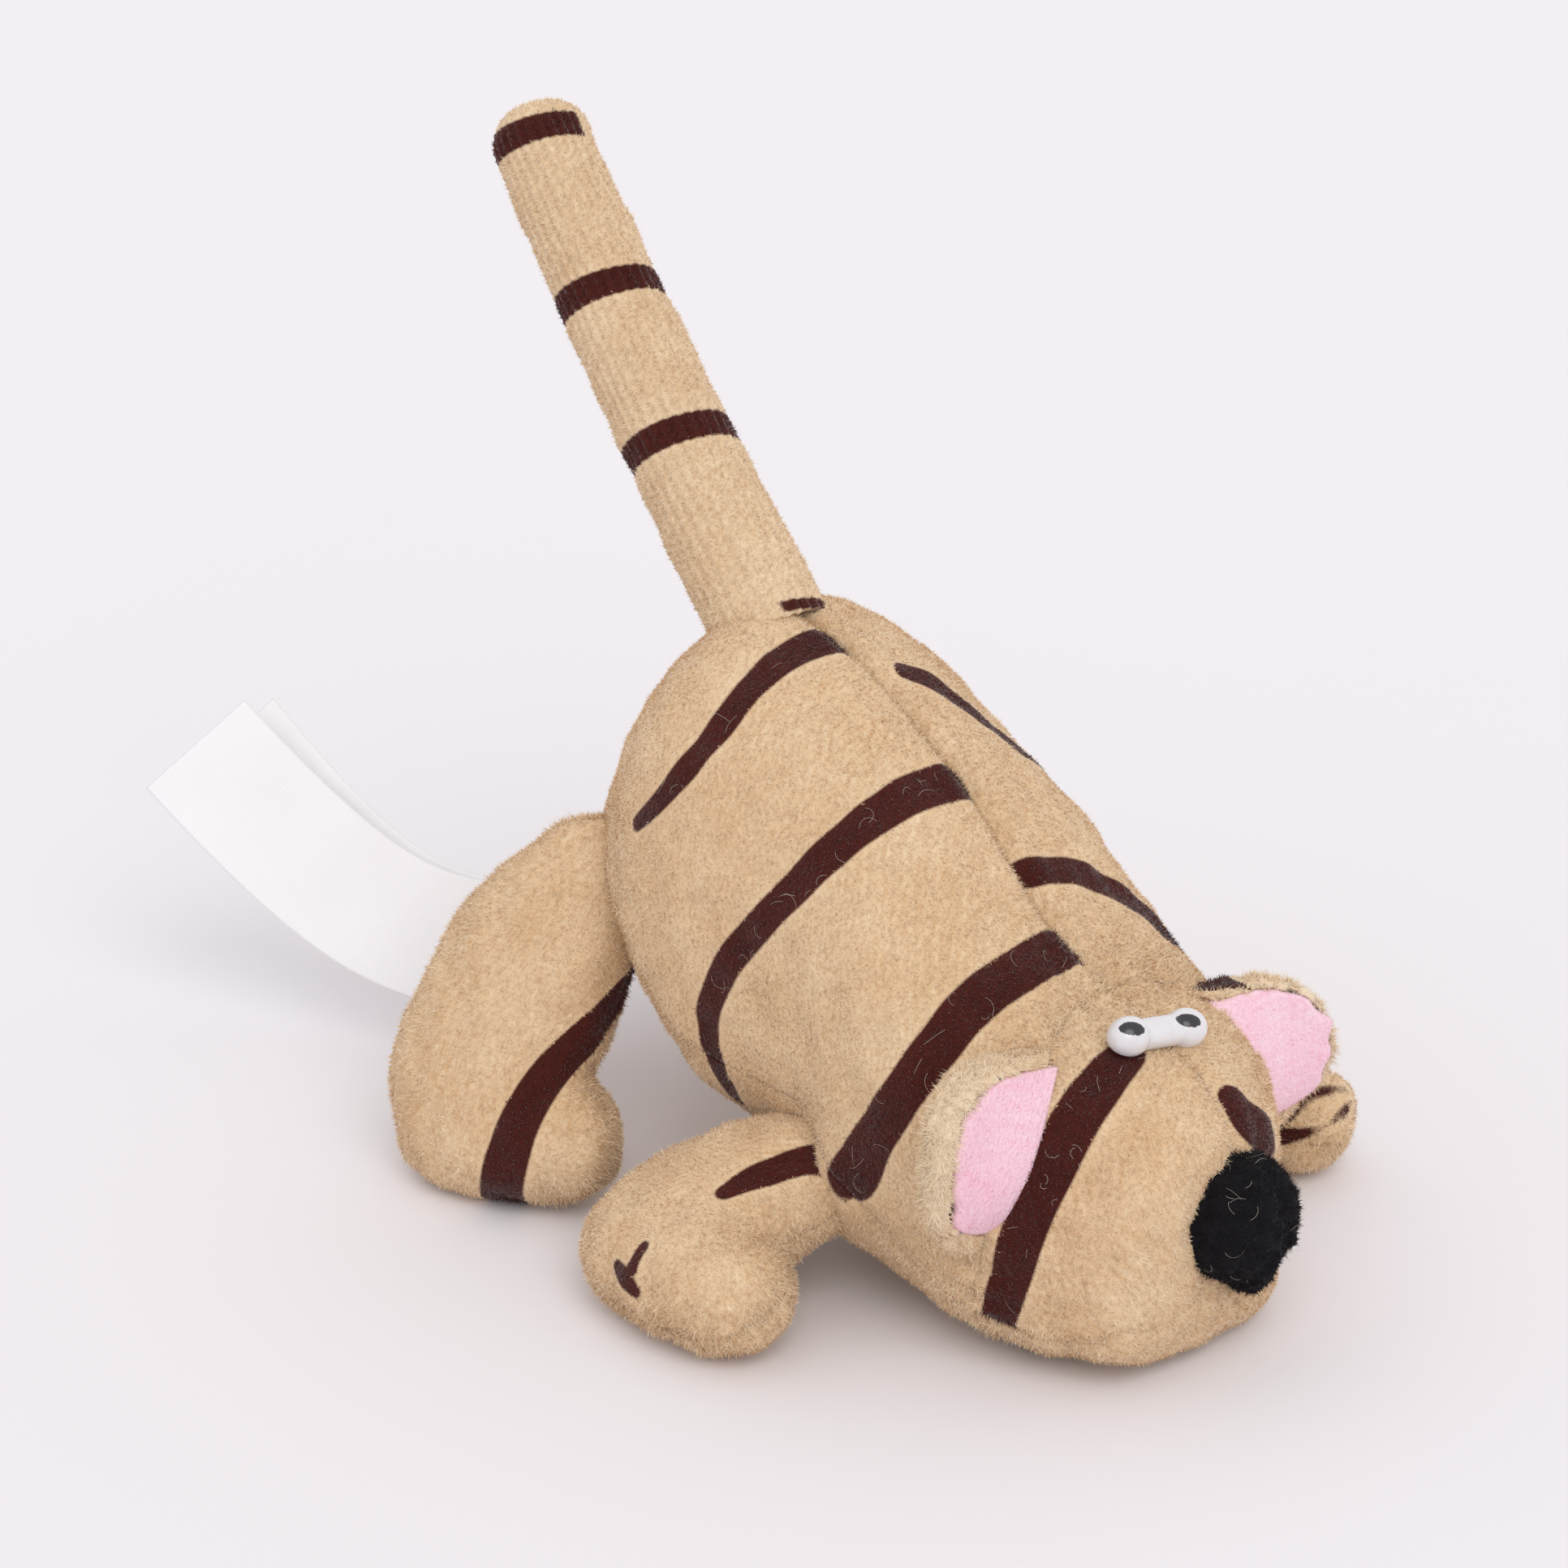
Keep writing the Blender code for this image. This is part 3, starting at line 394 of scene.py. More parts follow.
def pile(name, points, normals, material, fields, seed, length=1.0, lift=fur["lift"]):
    # one thin triangle a hair, rooted evenly over the grid and upright but for a lean: waves of
    # about a tuft's length and the knit's rows and columns bunch neighbours together, and the
    # knit carries painted shade, lighter on its crests and darker in its gaps
    rng = np.random.default_rng(seed)
    rowCount, columnCount = points.shape[:2]
    a = points[1:, 1:] - points[:-1, :-1]
    b = points[1:, :-1] - points[:-1, 1:]
    area = np.linalg.norm(np.cross(a, b), axis=-1).ravel() / 2
    thin = 1.0
    count = int(area.sum() * fur["density"] * thin)
    cell = np.searchsorted(area.cumsum(), rng.random(count) * area.sum())
    i, j = np.divmod(cell.clip(0, len(area) - 1), columnCount - 1)
    s, t = rng.random((2, count, 1))

    def read(grid):
        grid = grid if grid.ndim == 3 else grid[..., None]
        return ((1 - s) * ((1 - t) * grid[i, j] + t * grid[i, j + 1])
                + s * ((1 - t) * grid[i + 1, j] + t * grid[i + 1, j + 1]))

    root, normal = read(points), unit(read(normals))
    along = unit(read(np.gradient(points, axis=0)))
    beside = np.cross(normal, along)
    turn = rng.normal(0, fur["scatter"], (count, 1))
    lift = rng.uniform(*lift, (count, 1))
    bunch = [waves(root, fur["tuft"], seed + k)[:, None] for k in (20, 21)]
    lean = fur["tuftLean"] * (along * bunch[0] + beside * bunch[1])
    warp = waves(root, fur["knitWarp"], seed + 23)[:, None]
    row, column = [read(fields[key]) * 2 * pi / fur["knit"] + warp
                   for key in ("down", "over")]
    lean = lean - fur["knitLean"] * (along * np.sin(row) + beside * np.sin(column))
    way = unit(normal * np.sin(lift)
               + (along * np.cos(turn) + beside * np.sin(turn)) * np.cos(lift) + lean)
    wide = unit(np.cross(normal, way) + rng.normal(0, fur["twist"], (count, 3)))
    reach = (fur["length"] * length * rng.uniform(*fur["lengths"], (count, 1))
             * read(fields["pile"]))
    reach = reach * (1 + fur["knitReach"] * (np.cos(row) + np.cos(column)))
    # shorter beside a print, so that its edge stays crisp
    near = np.exp(-(read(fields["apart"]) / fur["edgeReach"]) ** 2)
    reach = reach * (1 - fur["edgeTrim"] * near)
    half = fur["width"] / 2 / sqrt(thin) * wide
    base = root - normal * fur["sunk"]
    corners = np.stack([base - half, base + half, base + way * reach], 1).reshape(-1, 3)
    corners[:, 2] = np.maximum(corners[:, 2], 0)
    turns = 2 * pi / fur["knit"] * reach
    rows, columns = [
        np.concatenate([phase, phase, phase + turns * (way * side).sum(-1, keepdims=True)], 1)
        for phase, side in ((row, along), (column, beside))]
    # tint: a random tone at about a tuft's size and from hair to hair, plus painted shade that
    # follows the knit, lighter on its crests and darker in its gaps
    tint = (0.5 + fur["tintShare"] * waves(root, fur["tintSize"], seed + 22)
            + rng.uniform(-fur["tintSpread"], fur["tintSpread"], count))[:, None]
    tint = tint + fur["knitShade"] * (np.cos(rows) + np.cos(columns))
    flip = (np.cross(2 * half, way) * normal).sum(-1) < 0
    faces = np.arange(3 * count).reshape(-1, 3)
    faces[flip] = faces[flip][:, ::-1]
    at = read(gridMap(rowCount, columnCount) * (1, 0.5))[:, None, :]
    at = at + np.array([[-0.0006, -0.0004], [0.0006, -0.0004], [0, 0.0007]])
    # the print's edge wavers like the pile it is printed on, and a hair is all brown or not
    apart = read(fields["apart"])[:, 0]
    for k, (size, wave) in enumerate(fur["ragged"]):
        apart = apart + size * waves(root, wave, seed + 7 + k)
    apart = apart + rng.uniform(-fur["edgeSpread"], fur["edgeSpread"], count)
    # each hair's root corners get a low depth: painted shade deep in the pile
    attributes = {"depth": np.tile([fur["rootShade"]] * 2 + [1.0], count),
                  "apart": np.repeat(np.sign(apart) * 0.001, 3), "tint": tint,
                  "pale": np.repeat(read(fields["pale"]), 3)}
    return putMesh(name, corners, faces, material, at.reshape(-1, 2), attributes, smooth=False)


def hold(piece, bodies):
    # rides on one body; given two bodies and a seam, it stays where it stands and follows neither
    if len(bodies) == 1:
        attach(piece, bodies[0])
    else:
        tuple(bodies[2])
        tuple(bodies[3])
        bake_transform(piece)


def plush(name, points, bodies, nodes, slot, fields, seed, thickness=fur["skin"], front=1,
          **look):
    # a cloth skin and the pile on it; front is -1 where the grid's outward side has to be turned
    normals = facing(points) * front
    over, _, down, _ = edgeDistances(points)
    full = np.ones(over.shape)
    fields = {"pale": 0 * full, "apart": full, "pile": full, **fields, "over": over, "down": down}
    tint = waves(points, fur["tintSize"], seed + 22)
    # the skin between the hairs gets a low depth too: painted shade deep in the pile
    skin = shell(name, points, points - normals * thickness, finishes[slot], {
        "apart": fields["apart"], "depth": full * fur["skinShade"], "pale": fields["pale"],
        "tint": 0.5 + fur["tintShare"] * tint})
    hair = pile(name + "Pile", points, normals, finishes[slot], fields, seed, **look)
    for piece in (skin, hair):
        hold(piece, bodies)
    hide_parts(*nodes)


# body and head are sewn as one bag
bag = {
    "length": 0.1118, "height": 0.084, "width": 0.066, "lean": radians(3.8),
    "endPower": 0.3, "upperPower": 0.92, "neck": 0.8157, "flat": 0.0005,
    "stations": (0, 0.08, 0.17, 0.28, 0.42, 0.55, 0.68, 0.78, 0.87, 0.94, 1),
    "middle": (0.54, 0.565, 0.573, 0.515, 0.495, 0.485, 0.375, 0.27, 0.21, 0.20, 0.25),
    "upper": (0.36, 0.437, 0.50, 0.505, 0.418, 0.318, 0.275, 0.335, 0.39, 0.43, 0.40),
    "lower": (0.24, 0.28, 0.33, 0.378, 0.375, 0.372, 0.392, 0.304, 0.268, 0.29, 0.50),
    "halfWidth": (0.40, 0.452, 0.495, 0.49, 0.435, 0.43, 0.472, 0.488, 0.488, 0.52, 0.66),
    "lowerPower": (0.92, 0.92, 0.9, 0.88, 0.85, 0.78, 0.66, 0.58, 0.54, 0.53, 0.6),
}
bagShift = np.array([joints["neck"][0], joints["neck"][1] + bag["length"] * bag["neck"], 0.0])


def bagForm(share, angle):
    # superellipse sections, rounded off at both ends: angle 0 is the back seam, +90 degrees left
    share, angle = np.broadcast_arrays(np.asarray(share, float), angle)
    swell = np.clip(4 * share * (1 - share), 0, 1) ** bag["endPower"]
    cosine, sine = np.cos(angle), np.sin(angle)
    middle, upper, lower, halfWidth, lowerPower = [
        through(bag["stations"], bag[key], share)
        for key in ("middle", "upper", "lower", "halfWidth", "lowerPower")]
    power = np.where(cosine > 0, bag["upperPower"], lowerPower)
    reach = np.where(cosine > 0, upper, lower)
    aside = bag["width"] * halfWidth * swell * np.sign(sine) * np.abs(sine) ** power
    above = bag["height"] * reach * swell * np.sign(cosine) * np.abs(cosine) ** power
    lean = bag["lean"]
    return np.stack([aside * cos(lean) + above * sin(lean), -bag["length"] * share,
                     bag["height"] * middle - aside * sin(lean) + above * cos(lean)],
                    -1)


bagDrop = bagForm(np.linspace(0.01, 0.99, 99)[:, None],
                  np.linspace(0, 2 * pi, 73)[None, :])[..., 2].min() + bag["flat"]


def bagPoint(share, angle):
    points = bagForm(share, angle) + bagShift - bagDrop * upward
    points[..., 2] = np.maximum(points[..., 2], 0)
    return points


def onBag(share, angle, step=1e-4):
    # a point of the bag's surface, the outward normal there and the way round the bag
    along = bagPoint(share + step, angle) - bagPoint(share - step, angle)
    around = bagPoint(share, angle + step) - bagPoint(share, angle - step)
    normal = unit(np.cross(along, around))
    place = bagPoint(share, angle)
    middle = (bagPoint(share, 0.0) + bagPoint(share, pi)) / 2
    return place, normal if normal @ (place - middle) > 0 else -normal, unit(around)


coat = {
    "grain": 0.00062, "seamWidth": 0.0034, "sideDepth": 0.0002,
    "backShares": (0, 0.05, 0.12, 0.7, 0.85, 1),
    "backDepths": (0.0001, 0.0001, 0.0009, 0.0011, 0.0005, 0.0003),
    "neckDepth": 0.0001, "neckWidth": 0.0036,
    "pucker": 0.00045, "puckerTurns": 26, "puckerReach": 0.0045,
    "lumps": 0.00022, "lumpLength": 0.007,
    "chest": 0.0066, "chestShare": (0.585, 0.050),
    "chestAngle": (radians(-138), radians(28)),
    "slim": 0.0050, "slimShare": (0.960, 0.055),
    "slimAngle": (radians(84), radians(50)),
    "neckAngles": (0, 20, 34, 50, 65, 80, 95, 115, 180),
    "neckShares": (0.777, 0.79, 0.812, 0.826, 0.832, 0.828, 0.815, 0.805, 0.80),
    "sideSeam": 115, "chinShares": (0.79, 0.90, 0.955, 0.985, 0.995, 1.0),
    "chinAngles": (115, 118, 116, 121, 146, 176),
    "seamPile": 0.35, "seamPileReach": 0.003, "neckPile": 0.7, "neckPileReach": 0.006,
    "bendStart": (0, -0.046, 0.03), "bendEnd": (0, -0.0685, 0.03),
}
bodyHold = ("body", "head", coat["bendStart"], coat["bendEnd"])


def bagPanel(part, side):
    # one panel's grid: rows from rump to snout, columns from its seam above to its seam below;
    # u and v are shares along and across it, and share and angle are its place on the bag
    head = part in ("face", "chin")
    turn = 1 if side == "left" else -1
    grain = coat["grain"] * 1.0
    low, high = (bag["neck"], 1.0) if head else (0.0, bag["neck"])
    fine = low + (high - low) * endwise(600)
    u, = evenly(bagPoint(fine, 1.0), grain, fine)
    u = (u - u[0]) / (u[-1] - u[0])
    u, v = np.meshgrid(u, np.linspace(0, 1, 220), indexing="ij")
    share = low + (high - low) * u
    for _ in range(3):
        seam = radians(coat["sideSeam"])
        if head:
            seam = through(coat["chinShares"], np.radians(coat["chinAngles"]), share)
        upper = part in ("back", "face")
        angle = seam * v if upper else seam + (2 * pi - 2 * seam) * v
        folded = np.abs(np.where(angle > pi, 2 * pi - angle, angle))
        neck = through(np.radians(coat["neckAngles"]), coat["neckShares"], folded)
        share = neck + (1 - neck) * u if head else neck * u
    grid = np.stack([share, turn * angle], -1)
    return spread(np.concatenate([bagPoint(share, turn * angle), grid], -1), grain)


def bulge(share, angle, shares, angles):
    # a soft round rise about one place on the bag
    around = (angle - angles[0] + pi) % (2 * pi) - pi
    return np.exp(-((share - shares[0]) / shares[1]) ** 2 - (around / angles[1]) ** 2)


def coatPanel(part, side, nodes, strokes, seed):
    # the panel with its edges rolled in at the seams, puckered beside the neck seam
    grid = bagPanel(part, side)
    points, share, angle = grid[..., :3], grid[..., 3], grid[..., 4]
    normals = facing(points)
    head = part in ("face", "chin")
    nearLow, nearHigh, nearFirst, nearLast = edgeDistances(points)
    nearNeck = nearFirst if head else nearLast
    lowDepth = coat["sideDepth"]
    if part in ("back", "face"):
        lowDepth = through(coat["backShares"], coat["backDepths"], share)
    inward = np.maximum(rolled(nearLow, coat["seamWidth"], lowDepth),
                        rolled(nearHigh, coat["seamWidth"], coat["sideDepth"]))
    inward = np.maximum(inward, rolled(nearNeck, coat["neckWidth"], coat["neckDepth"]))
    fold = np.sin(angle * coat["puckerTurns"] + 1.5 * waves(points, 0.02, 2))
    inward = inward + coat["pucker"] * fold * np.exp(-nearNeck / coat["puckerReach"])
    inward = inward - coat["lumps"] * waves(points, coat["lumpLength"], 3)
    inward = inward - coat["chest"] * bulge(share, angle, coat["chestShare"], coat["chestAngle"])
    if head and side == "left":  # the muzzle is slimmer on this side
        inward += coat["slim"] * bulge(share, angle, coat["slimShare"], coat["slimAngle"])
    points = points - normals * inward[..., None]
    pressed = onGround(points)
    seamNear = np.minimum(np.minimum(nearLow, nearHigh), nearNeck)
    longer = (coat["seamPile"] * np.exp(-seamNear / coat["seamPileReach"])
              + coat["neckPile"] * np.exp(-nearNeck / coat["neckPileReach"]))
    lines = [strokeLine(bagPoint, stops) for stops in strokes]
    fields = {"apart": strokeDistance(points, lines), "pile": (1 + longer) * pressed}
    name = part + "Panel" + (side.capitalize() if part in ("back", "face") else "")
    plush(name, points, bodyHold, nodes, "tan_pile", fields, seed)


coatPanel("back", "right", ("back_panel_right", "body_filling"), (
    ((303, 4, 3.1), (290, -12, 2.7), (286, -27, 2.3), (282, -42, 2.1), (262, -56, 1.9),
     (235, -67, 1.6), (205, -75, 1.2)),
    ((527, 4, 3.3), (516, -16, 3.1), (502, -37, 2.8), (476, -57, 2.6), (437, -73, 2.4),
     (389, -87, 2.3), (358, -99, 2.1), (353, -108, 1.9), (356, -122, 1.7)),
    ((710, 4, 3.5), (714, -15, 3.4), (710, -35, 3.3), (707, -55, 3.2), (691, -77, 3.2),
     (652, -95, 3.5), (630, -106, 4.0), (605, -116, 3.8))), 11)
coatPanel("back", "left", ("back_panel_left",), (
    ((372, 8, 1.9), (388, 13, 2.0), (410, 18, 1.8), (450, 25, 1.5), (490, 40, 1.5),
     (510, 62, 1.5), (510, 84, 1.3), (500, 104, 0.8)),
    ((624, -3, 2.2), (636, 16, 2.2), (653, 30, 2.3), (678, 45, 2.4), (690, 64, 2.4),
     (690, 86, 2.3), (680, 118, 2.2)),
    ((235, 40, 1.8), (240, 62, 2.0), (225, 84, 1.2))), 23)
coatPanel("belly", "left", ("belly_panel",), (
    ((353, -108, 1.9), (356, -122, 1.7), (362, -134, 1.4)),
    ((630, -106, 4.0), (600, -118, 3.6), (605, -136, 3.0), (620, -150, 3.6)),
    ((680, 110, 2.4), (670, 130, 2.2), (650, 146, 1.4)),
    ((350, -162, 1.4), (350, 180, 2.4), (360, 160, 1.4))), 37)
coatPanel("face", "right", ("face_panel_right", "head_filling"), (
    ((866, -14, 2.6), (872, -26, 3.2), (876, -42, 3.4), (877, -60, 3.4),
     (868, -79, 3.2), (853, -95, 2.9), (832, -120, 2.5)),), 41)
coatPanel("face", "left", ("face_panel_left",), (
    ((962, 6, 1.9), (972, 9, 2.8), (982, 14, 3.3), (988, 24, 3.4), (992, 38, 3.1),
     (994, 56, 2.4)),), 53)
coatPanel("chin", "left", ("chin_panel",), (), 67)
print("body and head sewn")


sock = {
    "stations": (0, 0.12, 0.3, 0.5, 0.62, 0.72, 0.82, 0.92, 1), "roundPower": 0.22,
    "rootShare": 0.12, "steepest": radians(85), "flat": 0.0005, "grain": 0.0006,
    "seamDepth": 0.0002, "seamWidth": 0.0026, "lumps": 0.00025, "lumpLength": 0.008,
    "pucker": 0.0005, "puckerTurns": 26, "puckerShare": 0.12, "outerShare": 0.35,
    "seamPile": 1.0, "seamPileReach": 0.0035, "tuckPower": 1.3,
}
foldedFront = {
    "length": 0.0385, "breadth": 0.0365, "thickness": 0.0185, "turn": radians(10),
    "pitched": False,
    "outer": ((-0.08, 0.70), (-0.14, 0.60), (-0.26, 0.38), (-0.31, 0.12), (-0.27, -0.17),
              (-0.07, -0.31), (0.20, -0.32), (0.46, -0.31), (0.66, -0.27)),
    "inner": ((0.30, 0.70), (0.34, 0.60), (0.37, 0.44), (0.39, 0.31), (0.41, 0.26),
              (0.46, 0.25), (0.53, 0.25), (0.62, 0.24), (0.70, 0.21)),
}
reachingFront = {
    "length": 0.048, "breadth": 0.020, "thickness": 0.0176, "turn": radians(36),
    "pitched": True,
    "outer": ((-0.08, -0.36), (0.02, -0.44), (0.19, -0.56), (0.37, -0.60), (0.50, -0.56),
              (0.58, -0.52), (0.67, -0.48), (0.76, -0.46), (0.84, -0.42)),
    "inner": ((-0.08, 0.36), (0.0, 0.38), (0.17, 0.34), (0.33, 0.27), (0.44, 0.25),
              (0.52, 0.27), (0.62, 0.32), (0.75, 0.36), (0.84, 0.36)),
}
hindLeg = {
    "length": 0.0385, "breadth": 0.0565, "thickness": 0.0196, "turn": radians(-20),
    "pitched": False,
    "outer": ((0.08, 0.76), (0.03, 0.70), (-0.14, 0.53), (-0.26, 0.30), (-0.33, 0.06),
              (-0.20, -0.17), (0.08, -0.23), (0.38, -0.22), (0.60, -0.19)),
    "inner": ((0.38, 0.76), (0.42, 0.70), (0.46, 0.54), (0.47, 0.34), (0.47, 0.21),
              (0.48, 0.17), (0.52, 0.168), (0.59, 0.16), (0.66, 0.13)),
}


def sockSurface(limb, side, root, tilt):
    # a flat sock: outer and inner edge curves in a tilted plane, an ellipse between them in rows
    heading = forward * cos(limb["turn"]) + leftward * side * sin(limb["turn"])
    inward = -leftward * side * cos(limb["turn"]) + forward * sin(limb["turn"])
    along, across = heading, inward * cos(tilt) + upward * sin(tilt)
    out = upward * cos(tilt) - inward * sin(tilt)
    if limb["pitched"]:
        along, across = heading * cos(tilt) - upward * sin(tilt), inward
        out = upward * cos(tilt) + heading * sin(tilt)

    def halves(rows):
        # middle and half spread of the two edges, each as shares along and across
        edges = [[through(sock["stations"], np.array(limb[key])[:, k] * limb[size], rows)
                  for k, size in enumerate(("length", "breadth"))] for key in ("outer", "inner")]
        (a, b), (c, d) = edges
        middle = ((a + c) / 2)[..., None] * along + ((b + d) / 2)[..., None] * across
        return middle, (a - c) / 2, (b - d) / 2

    start = halves(np.array([sock["rootShare"]]))[0][0]

    def surface(rows, angles):
        rows, angles = np.broadcast_arrays(np.asarray(rows, float), angles)
        swell = np.clip(4 * rows * (1 - rows), 0, 1) ** sock["roundPower"]
        middle, u, v = halves(rows)
        u, v = u * swell * np.cos(angles), v * swell * np.cos(angles)
        rise = limb["thickness"] / 2 * swell * np.sin(angles)
        return (root - start + middle + u[..., None] * along + v[..., None] * across
                + rise[..., None] * out)

    return surface


def letDown(limb, side, root):
    # tilted until the ground cuts the sock by the flat's depth
    rows = np.linspace(0.02, 0.98, 49)[:, None]
    angles = np.linspace(0, 2 * pi, 48)[None, :]
    low, high = 0.0, sock["steepest"]
    for _ in range(30):
        tilt = (low + high) / 2
        lowest = sockSurface(limb, side, root, tilt)(rows, angles)[..., 2].min()
        low, high = (tilt, high) if lowest > -sock["flat"] else (low, tilt)
    return sockSurface(limb, side, root, tilt)


def leg(name, node, limb, side, joint, tuck, fade, strokes, seed, push=(0, 0, 0), plump=0.0):
    # upper and sole panels meet in a fluffy seam round the sock's outline; the root sinks into
    # the body by the tuck, which fades over a share of the leg, and gathers there in small
    # folds; the push moves the paw and plump fills it out
    surface = letDown(limb, side, joints[joint])
    grain = sock["grain"] * 1.0
    fine = endwise(500)
    rows, = evenly(surface(fine, pi / 2), grain, fine)
    down = rows[:, None]
    for half, first in (("Upper", 0.0), ("Sole", pi)):
        angles = first + np.linspace(0, pi, 160)
        points = spread(surface(down, angles[None, :]), grain)
        normals = facing(points)
        nearLow, nearHigh, _, _ = edgeDistances(points)
        seamNear = np.minimum(nearLow, nearHigh)
        inward = rolled(seamNear, sock["seamWidth"], sock["seamDepth"])
        inward = inward - sock["lumps"] * waves(points, sock["lumpLength"], seed)
        gathered = np.exp(-down / sock["puckerShare"]) * np.clip(down * 50, 0, 1)
        fold = np.sin(nearLow / nearLow.max() * sock["puckerTurns"])
        inward = inward + sock["pucker"] * gathered * fold
        plain = points - normals * (inward - plump * down**2)[..., None]
        inner = (nearLow if half == "Upper" else nearHigh) / (nearLow + nearHigh + 1e-9)
        inner = 0.5 - 0.5 * np.cos(pi * inner)
        inner = sock["outerShare"] + (1 - sock["outerShare"]) * inner
        held = np.clip(1 - down / fade, 0, 1) ** sock["tuckPower"] * inner
        points = plain + held[..., None] * np.array(tuck) + (down**2)[..., None] * np.array(push)
        pressed = onGround(points)
        lines = [strokeLine(surface, stops) for stops in strokes]
        longer = sock["seamPile"] * np.exp(-seamNear / sock["seamPileReach"])
        fields = {"apart": strokeDistance(plain, lines), "pile": (1 + longer) * pressed}
        nodes = (f"{node}_upper", f"{node}_filling") if half == "Upper" else (f"{node}_sole",)
        plush(name + half, points, (node,), nodes, "tan_pile", fields,
              seed + (5 if half == "Sole" else 0))


leg("frontLegRight", "front_leg_right", foldedFront, -1, "shoulder_right",
    (0.011, -0.005, 0.0015), 0.85, (
        ((30, 200, 5.0), (60, 182, 5.0), (139, 162, 4.2), (220, 144, 3.0),
         (298, 129, 2.4), (440, 122, 2.1), (565, 118, 1.3)),
        ((770, 42, 1.0), (800, 37, 1.6), (830, 30, 1.1)), ((775, 68, 1.1), (800, 48, 1.3))),
    71, push=(0.0030, 0.0032, 0.0002), plump=0.0008)
leg("frontLegLeft", "front_leg_left", reachingFront, 1, "shoulder_left",
    (-0.004, 0, 0.001), 0.45, (
        ((830, 172, 1.5), (870, 145, 1.5), (915, 118, 1.3), (965, 92, 1.2),
         (985, 80, 0.9)),
        ((860, 178, 1.5), (915, 165, 1.2), (960, 148, 1.1), (985, 122, 1.1),
         (990, 95, 0.9))),
    83, push=(0.0040, -0.0006, 0.0014), plump=0.0012)
hindStrokes = (((420, 200, 2.2), (478, 184, 2.6), (572, 158, 3.0), (667, 140, 3.2),
                (787, 114, 3.3), (845, 78, 3.3), (866, 20, 3.2), (868, -14, 2.2)),)
leg("hindLegRight", "hind_leg_right", hindLeg, -1, "hip_right",
    (0.012, -0.006, 0.0005), 0.85, hindStrokes, 97, push=(-0.0016, -0.0020, 0))
leg("hindLegLeft", "hind_leg_left", hindLeg, 1, "hip_left",
    (-0.012, -0.006, 0.0005), 0.85, hindStrokes, 109)
print("legs sewn")


tail = {
    "length": 0.082, "rootRadius": 0.0082, "tipRadius": 0.0068, "sideTurn": radians(8),
    "rise": radians(43), "curl": radians(7), "grain": 0.0005, "ribs": 0.00022,
    "ribCount": 27, "stitch": 0.0013, "sunk": 0.0056, "lumps": 0.0002, "lumpLength": 0.009,
    "tipZone": 0.8, "tipPower": 0.36, "pale": 0.10, "seam": (radians(165), 0.002, 0.0010),
    "slant": 0.012, "slantFrom": radians(250),
    # rings: share along, half width in millimetres, middle and span round it in degrees
    "rings": ((0.935, 2.1, 290, 210), (0.62, 2.1, 0, 400), (0.318, 2.1, 0, 400),
              (-0.050, 0.9, 50, 130)),
}


def tailGrid():
    # a tube round a path that bends upwards; its tip rounds off and lengthwise ribs run along it
    length = np.linspace(-tail["sunk"], tail["length"], 400)
    rise = tail["rise"] + tail["curl"] * np.clip(length / tail["length"], 0, 1) ** 2
    level = -forward * cos(tail["sideTurn"]) + leftward * sin(tail["sideTurn"])
    ahead = np.cos(rise)[:, None] * level + np.sin(rise)[:, None] * upward
    path = np.cumsum(ahead, axis=0) * (length[1] - length[0])
    path += joints["tail_root"] - path[np.searchsorted(length, tail["rootRadius"])]
    across = unit(np.cross(ahead, upward))
    over = np.cross(across, ahead)
    place = -tail["sunk"] + endwise(500) * (tail["length"] + tail["sunk"])
    share = np.clip(place / tail["length"], 0, 1)
    end = np.clip((tail["length"] - place) / (tail["tipRadius"] * tail["tipZone"]), 0, 1)
    radius = tail["rootRadius"] + (tail["tipRadius"] - tail["rootRadius"]) * share
    radius = radius * (1 - (1 - end) ** 2) ** tail["tipPower"]
    grain = tail["grain"] * 1.0
    place, radius = evenly(np.stack([place, radius], -1), grain, place, radius)
    columns = int(2 * pi * tail["rootRadius"] / grain)
    angle = np.linspace(0, 2 * pi, columns)[None, :]

    def read(table):
        return np.stack([np.interp(place, length, table[:, k]) for k in range(3)], -1)[:, None]

    knit = np.cos(place[:, None] * 2 * pi / tail["stitch"]
                  + 2.4 * np.cos(tail["ribCount"] / 2 * angle))
    ribs = tail["ribs"] * (np.cos(tail["ribCount"] * angle) + 0.5 * knit)
    ribs = ribs * np.clip(radius / tail["tipRadius"], 0, 1)[:, None] ** 2
    wide = (radius[:, None] + ribs)[..., None]
    points = read(path) + wide * (np.cos(angle)[..., None] * read(over)
                                  + np.sin(angle)[..., None] * read(across))
    return points, (place / tail["length"])[:, None], angle


def ringDistance(share, angle):
    # distance to the nearest ring's edge; a ring lies slanted and may go only part of the way
    apart = np.ones(np.broadcast(share, angle).shape)
    for middle, half, centre, span in tail["rings"]:
        slant = tail["slant"] * np.cos(angle - tail["slantFrom"])
        off = np.abs(share - middle - slant) * tail["length"] - half / 1000
        turn = np.abs((np.degrees(angle) - centre + 180) % 360 - 180) - span / 2
        apart = np.minimum(apart, np.maximum(off, np.radians(turn) * tail["tipRadius"]))
    return apart


